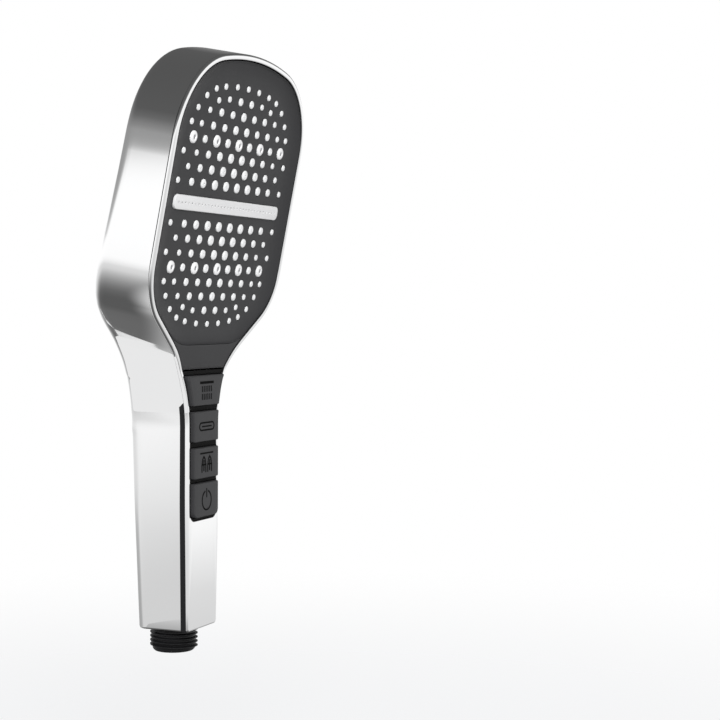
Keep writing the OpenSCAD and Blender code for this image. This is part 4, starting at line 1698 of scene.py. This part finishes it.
@dataclass
class Works:
    """The coiled springs, the threaded inlet and the finishes of the inner parts."""

    wire: float = 0.00045
    key_turns: float = 6.0
    latch_turns: float = 7.0
    thread_pitch: float = 0.001814
    thread_turns: float = 4.6
    thread_deep: float = 0.00116
    ridge_share: float = 0.82
    ridge_crest: float = 0.0003
    ridge_sink: float = 0.0001
    ridge_z: float = 0.00155

    @staticmethod
    def kept_share(joint: str, length: float) -> float:
        """Return the share of a spring's length that is left at the joint's far limit."""
        travel = next(j["range_m"][1] for j in frame["joints"] if j["name"] == joint)
        return (length - travel) / length

    def build_key_spring(self, mode: Mode) -> None:
        """Make the return spring behind one key.

        Args:
            mode: Which key.
        """
        node = "key_spring_" + mode.value
        lo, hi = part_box(node)
        length = hi.y - lo.y
        radius = (hi.x - lo.x) / 2 - self.wire / 2
        rise = length - self.wire
        winding = Coil(radius, rise / self.key_turns, self.key_turns, self.wire)
        coil = winding.build("coil_" + mode.value, STEEL)
        stand = Matrix.Translation(((lo.x + hi.x) / 2, lo.y + self.wire / 2, (lo.z + hi.z) / 2))
        coil.data.transform(stand @ Matrix.Rotation(math.radians(-90), 4, "X"))
        place(coil, "root", STEEL, node)
        joint = f"key_{mode.value}_press"
        self.kept_share(joint, length)
        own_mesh(coil)

    def build_latch_spring(self) -> None:
        """Make the spring under the latch slide."""
        lo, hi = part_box("latch_spring")
        wire = self.wire * 0.5
        length = hi.z - lo.z
        radius = (hi.x - lo.x) / 2 - wire / 2
        winding = Coil(radius, (length - wire) / self.latch_turns, self.latch_turns, wire)
        coil = winding.build("latch_coil", STEEL)
        coil.data.transform(Matrix.Translation(((lo.x + hi.x) / 2, (lo.y + hi.y) / 2, lo.z + wire / 2)))
        place(coil, "root", STEEL, "latch_spring")
        joint = "latch_shift"
        self.kept_share(joint, length)
        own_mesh(coil)

    def build_inlet(self) -> None:
        """Make the threaded hose connection: a turned core with a winding ridge."""
        lo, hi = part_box("inlet_connector")
        crest = (hi.x - lo.x) / 2
        root = crest - self.thread_deep
        top = hi.z
        profile = [(0.006, 0.0), (root - 0.0009, 0.0), (root - 0.0004, 0.0004), (root, 0.0010),
                   (root, 0.0104), (0.0092, 0.0107), (0.0092, 0.0160), (0.0084, 0.0170), (0.0084, top),
                   (0.0040, top), (0.0040, 0.0145), (0.006, 0.0145)]
        core = THREAD.dress(lathe("inlet_core", profile, 72))
        winding = Coil(root - self.ridge_sink + self.thread_deep / 2, self.thread_pitch, self.thread_turns,
                       self.thread_pitch * self.ridge_share, self.ridge_crest,
                       self.thread_deep + 2 * self.ridge_sink)
        ridge = winding.build("thread_ridge", THREAD)
        ridge.data.transform(Matrix.Translation((0.0, 0.0, self.ridge_z)))
        place(join_pieces("threaded_inlet", [core, ridge]), "root", THREAD, "inlet_connector")

    def dress_nodes(self) -> None:
        """Give every carried-over node its finish."""
        plan = {
            INNER: ["diffuser_plate", "chamber_back", "neck_manifold", "valve_block", "core_tube"],
            FRAME: ["key_frame"],
            SEAL_AND_SEAM_SHADOW: ["chamber_gasket", "connector_seals", *["plunger_seals_" + m.value for m in Mode]],
            BRASS: ["plunger_" + m.value for m in Mode],
            STEEL: ["latch_slide", "inlet_strainer", "connector_clip", "face_screws", "valve_screws"],
            VALVE: ["check_valve"],
        }
        for finish, nodes in plan.items():
            for node in nodes:
                finish.dress(frame["nodes"][node])

    def build(self) -> None:
        """Make the springs and the inlet, and dress the inner parts."""
        for mode in Mode:
            self.build_key_spring(mode)
        self.build_latch_spring()
        self.build_inlet()
        self.dress_nodes()


# --- Studio ---------------------------------------------------------------------------------------


# What the chrome mirrors all round: pairs of a direction's Z and the brightness there.
SKY = ((-1.0, 0.10), (-0.76, 0.10), (-0.68, 0.14), (-0.61, 0.20), (-0.51, 0.31), (-0.40, 0.46), (-0.27, 0.68),
       (-0.18, 0.74), (-0.12, 0.86), (-0.06, 0.97), (0.0, 1.03), (0.074, 1.06), (0.083, 0.98), (0.089, 0.80),
       (0.095, 0.56), (0.103, 0.40), (0.12, 0.33), (0.21, 0.24), (0.36, 0.14), (0.50, 0.10), (1.0, 0.09))


@dataclass
class Studio:
    """The camera, the pale floor, the soft lights and the surroundings that the chrome mirrors.

    The card behind the handle glows by height and across, each as a ramp's start, end, low and high.
    """

    lens: float = 85.0
    spot: Spot = (-0.6590, -0.3608, 0.1514)
    right: Spot = (0.3823, -0.9240, 0.0050)
    up: Spot = (0.0268, 0.0165, 0.9995)
    floor_z: float = -0.12
    floor_r: float = 1.1
    card_x: Flat = (-0.150, 0.090)
    card_y: float = 0.060
    card_z: Flat = (-0.030, 0.130)
    flare_from: Flat = (-0.0270, 0.1260)
    flare_to: Flat = (-0.0147, 0.1055)
    flare_y: Flat = (-0.025, 0.050)
    floor_glow: float = 0.8
    floor_fade: float = 0.3
    card_climb: tuple[float, ...] = (0.0, 0.09, 0.66, 0.91)
    card_dim: tuple[float, ...] = (-0.060, -0.020, 1.0, 0.6)
    card_top: tuple[float, ...] = (0.072, 0.040, 0.0, 1.0)
    card_edge: tuple[float, ...] = (0.080, 0.040, 0.0, 1.0)
    card_slant: float = 0.35
    flare_glow: float = 0.84
    soft_light: float = 0.34
    sky_bend: Flat = (0.5, 0.15)
    aim: Spot = (0.0, 0.0, 0.14)

    def build_camera(self) -> None:
        """Stand the camera."""
        data = bpy.data.cameras.new("camera")
        data.lens = self.lens
        data.sensor_width = 36.0
        data.clip_start = 0.01
        data.clip_end = 50.0
        camera = bpy.data.objects.new("camera", data)
        bpy.context.scene.collection.objects.link(camera)
        right = Vector(self.right).normalized()
        back = right.cross(Vector(self.up)).normalized()
        up = back.cross(right)
        turn = Matrix((right, up, back)).transposed().to_4x4()
        camera.matrix_world = Matrix.Translation(self.spot) @ turn
        bpy.context.scene.camera = camera

    def build_floor(self) -> None:
        """Lay a round pale floor that fades out at its edge and isn't mirrored."""
        segments = 64
        points = [(x, y, self.floor_z) for x, y in ((0.0, 0.0), *circle(self.floor_r, segments))]
        faces = [[0, 1 + k, 1 + (k + 1) % segments] for k in range(segments)]
        floor = new_piece("floor", points, faces)
        made, bench = bare_material("pale_floor")
        place_of = bench.wire(bench.node("ShaderNodeTexCoord"), "Object")
        length = bench.node("ShaderNodeVectorMath", {"operation": "LENGTH"}, {0: place_of})
        fade = self.ramp(bench, bench.wire(length, "Value"), self.floor_fade, self.floor_r * 0.95, 0.0, 1.0)
        matt = bench.wire(bench.node("ShaderNodeBsdfDiffuse", inputs={"Color": (0.93, 0.935, 0.95, 1.0)}))
        glow = bench.wire(bench.node("ShaderNodeEmission", inputs={"Color": (0.965, 0.97, 0.98, 1.0)}))
        pale = bench.wire(bench.node("ShaderNodeMixShader", inputs={0: self.floor_glow, 1: matt, 2: glow}))
        clear = bench.wire(bench.node("ShaderNodeBsdfTransparent"))
        glossy = bench.wire(bench.node("ShaderNodeLightPath"), "Is Glossy Ray")
        seen = bench.wire(bench.node("ShaderNodeMixShader", inputs={0: glossy, 1: pale, 2: clear}))
        whole = bench.wire(bench.node("ShaderNodeMixShader", inputs={0: fade, 1: seen, 2: clear}))
        bench.node("ShaderNodeOutputMaterial", inputs={"Surface": whole})
        floor.data.materials.append(made)

    def build_surroundings(self) -> None:
        """Set a white background and, for reflections, a white band between dark above and below."""
        world = bpy.data.worlds.new("studio")
        bpy.context.scene.world = world
        world.use_nodes = True
        bench = Bench(world.node_tree)
        way = bench.wire(bench.node("ShaderNodeTexCoord"), "Generated")
        split = bench.node("ShaderNodeSeparateXYZ", inputs={0: way})
        beyond = bench.wire(bench.node("ShaderNodeMath", {"operation": "MAXIMUM"}, {
            0: bench.wire(split, "Y") - self.sky_bend[0], 1: 0.0}))
        lift = (bench.wire(split, "Z") - beyond * self.sky_bend[1]) * 0.5 + 0.5
        stops = [((z + 1) / 2, grey(level)) for z, level in SKY]
        bands = bench.wire(bench.node("ShaderNodeValToRGB", {"stops": stops}, {"Fac": lift}))
        path = bench.node("ShaderNodeLightPath")
        mirrored = bench.wire(bench.node("ShaderNodeBackground", inputs={"Color": bands, "Strength": 1.0}))
        soft = bench.wire(bench.node("ShaderNodeBackground", inputs={
            "Color": grey(1.0), "Strength": self.soft_light}))
        white = bench.wire(bench.node("ShaderNodeBackground", inputs={"Color": grey(1.0), "Strength": 1.0}))
        lit = bench.wire(bench.node("ShaderNodeMixShader", inputs={
            0: bench.wire(path, "Is Glossy Ray"), 1: soft, 2: mirrored}))
        seen = bench.wire(bench.node("ShaderNodeMixShader", inputs={
            0: bench.wire(path, "Is Camera Ray"), 1: lit, 2: white}))
        bench.node("ShaderNodeOutputWorld", inputs={"Surface": seen})

    def hang_card(self, name: str, corners: list[Spot]) -> Bench:
        """Hang a card.

        Args:
            name: The name of the card and its material.
            corners: Its four corners, in order.

        Returns:
            The bench of its material.
        """
        card = new_piece(name, corners, [[0, 1, 2, 3]])
        made, bench = bare_material(name)
        card.data.materials.append(made)
        return bench

    def light_card(self, bench: Bench, strength: Wire | float, cover: Wire | float) -> None:
        """Make a card glow to mirrored rays and stay clear to all others.

        Args:
            bench: The bench of its material.
            strength: How bright it is.
            cover: How much of the ray it stops.
        """
        mirrored = bench.wire(bench.node("ShaderNodeLightPath"), "Is Glossy Ray")
        glow = bench.wire(bench.node("ShaderNodeEmission", inputs={"Color": grey(1.0), "Strength": strength}))
        clear = bench.wire(bench.node("ShaderNodeBsdfTransparent"))
        whole = bench.wire(bench.node("ShaderNodeMixShader", inputs={0: mirrored * cover, 1: clear, 2: glow}))
        bench.node("ShaderNodeOutputMaterial", inputs={"Surface": whole})

    def build_card(self) -> None:
        """Hang a card behind the handle that only mirrors see, brighter towards its top."""
        x, y, z = self.card_x, self.card_y, self.card_z
        corners = [(x[0], y, z[0]), (x[1], y, z[0]), (x[1], y, z[1]), (x[0], y, z[1])]
        bench = self.hang_card("mirror_card", corners)
        split = bench.node("ShaderNodeSeparateXYZ", inputs={
            0: bench.wire(bench.node("ShaderNodeTexCoord"), "Object")})
        across, height = bench.wire(split, "X"), bench.wire(split, "Z")
        left = bench.wire(bench.node("ShaderNodeMath", {"operation": "MINIMUM"}, {
            0: across - self.card_dim[0], 1: 0.0}))
        level = self.ramp(bench, height, *self.card_climb) * self.ramp(bench, across, *self.card_dim)
        top = self.ramp(bench, left * self.card_slant + height, *self.card_top)
        self.light_card(bench, level, top * self.ramp(bench, across, *self.card_edge))

    def build_flare_card(self) -> None:
        """Hang a small card under the flare of the neck, which only mirrors see."""
        (x0, z0), (x1, z1) = self.flare_from, self.flare_to
        y = self.flare_y
        bench = self.hang_card("flare_card", [(x0, y[0], z0), (x1, y[0], z1), (x1, y[1], z1), (x0, y[1], z0)])
        self.light_card(bench, self.flare_glow, 1.0)

    @staticmethod
    def ramp(bench: Bench, value: Wire, start: float, end: float, low: float, high: float) -> Wire:
        """Return a smooth step from low at start to high at end."""
        return bench.wire(bench.node("ShaderNodeMapRange", {"interpolation_type": "SMOOTHSTEP"}, {
            "Value": value, "From Min": start, "From Max": end, "To Min": low, "To Max": high}))

    def add_light(self, name: str, spot: Spot, power: float, size: float) -> None:
        """Add a soft square light that looks at the middle of the object and isn't mirrored.

        Args:
            name: The light's name.
            spot: Where it hangs.
            power: Its power, in watts.
            size: The length of its side.
        """
        data = bpy.data.lights.new(name, "AREA")
        data.energy = power
        data.size = size
        light = bpy.data.objects.new(name, data)
        bpy.context.scene.collection.objects.link(light)
        way = Vector(self.aim) - Vector(spot)
        light.matrix_world = Matrix.Translation(spot) @ way.to_track_quat("-Z", "Y").to_matrix().to_4x4()
        light.visible_glossy = False
        light.visible_camera = False

    def build(self) -> None:
        """Set up the studio."""
        self.build_camera()
        self.build_floor()
        self.build_surroundings()
        self.build_card()
        self.build_flare_card()
        self.add_light("key_light", (-0.95, -0.55, 0.75), 13.0, 0.40)
        self.add_light("fill_light", (0.9, -0.7, 0.4), 2.0, 0.8)
        self.add_light("rim_light", (-0.6, 0.8, 0.7), 2.0, 0.6)
        bpy.context.scene.view_settings.view_transform = "Standard"


def main() -> None:
    """Build every sub-assembly in order."""
    logging.basicConfig(level=logging.INFO, format="%(name)s: %(message)s", stream=sys.stdout)
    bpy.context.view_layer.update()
    for part in (Studio(), Casing(), SprayFace(), KeyPad(), Works()):
        part.build()
        LOG.info("%s done", type(part).__name__)


if __name__ == "__main__":
    main()
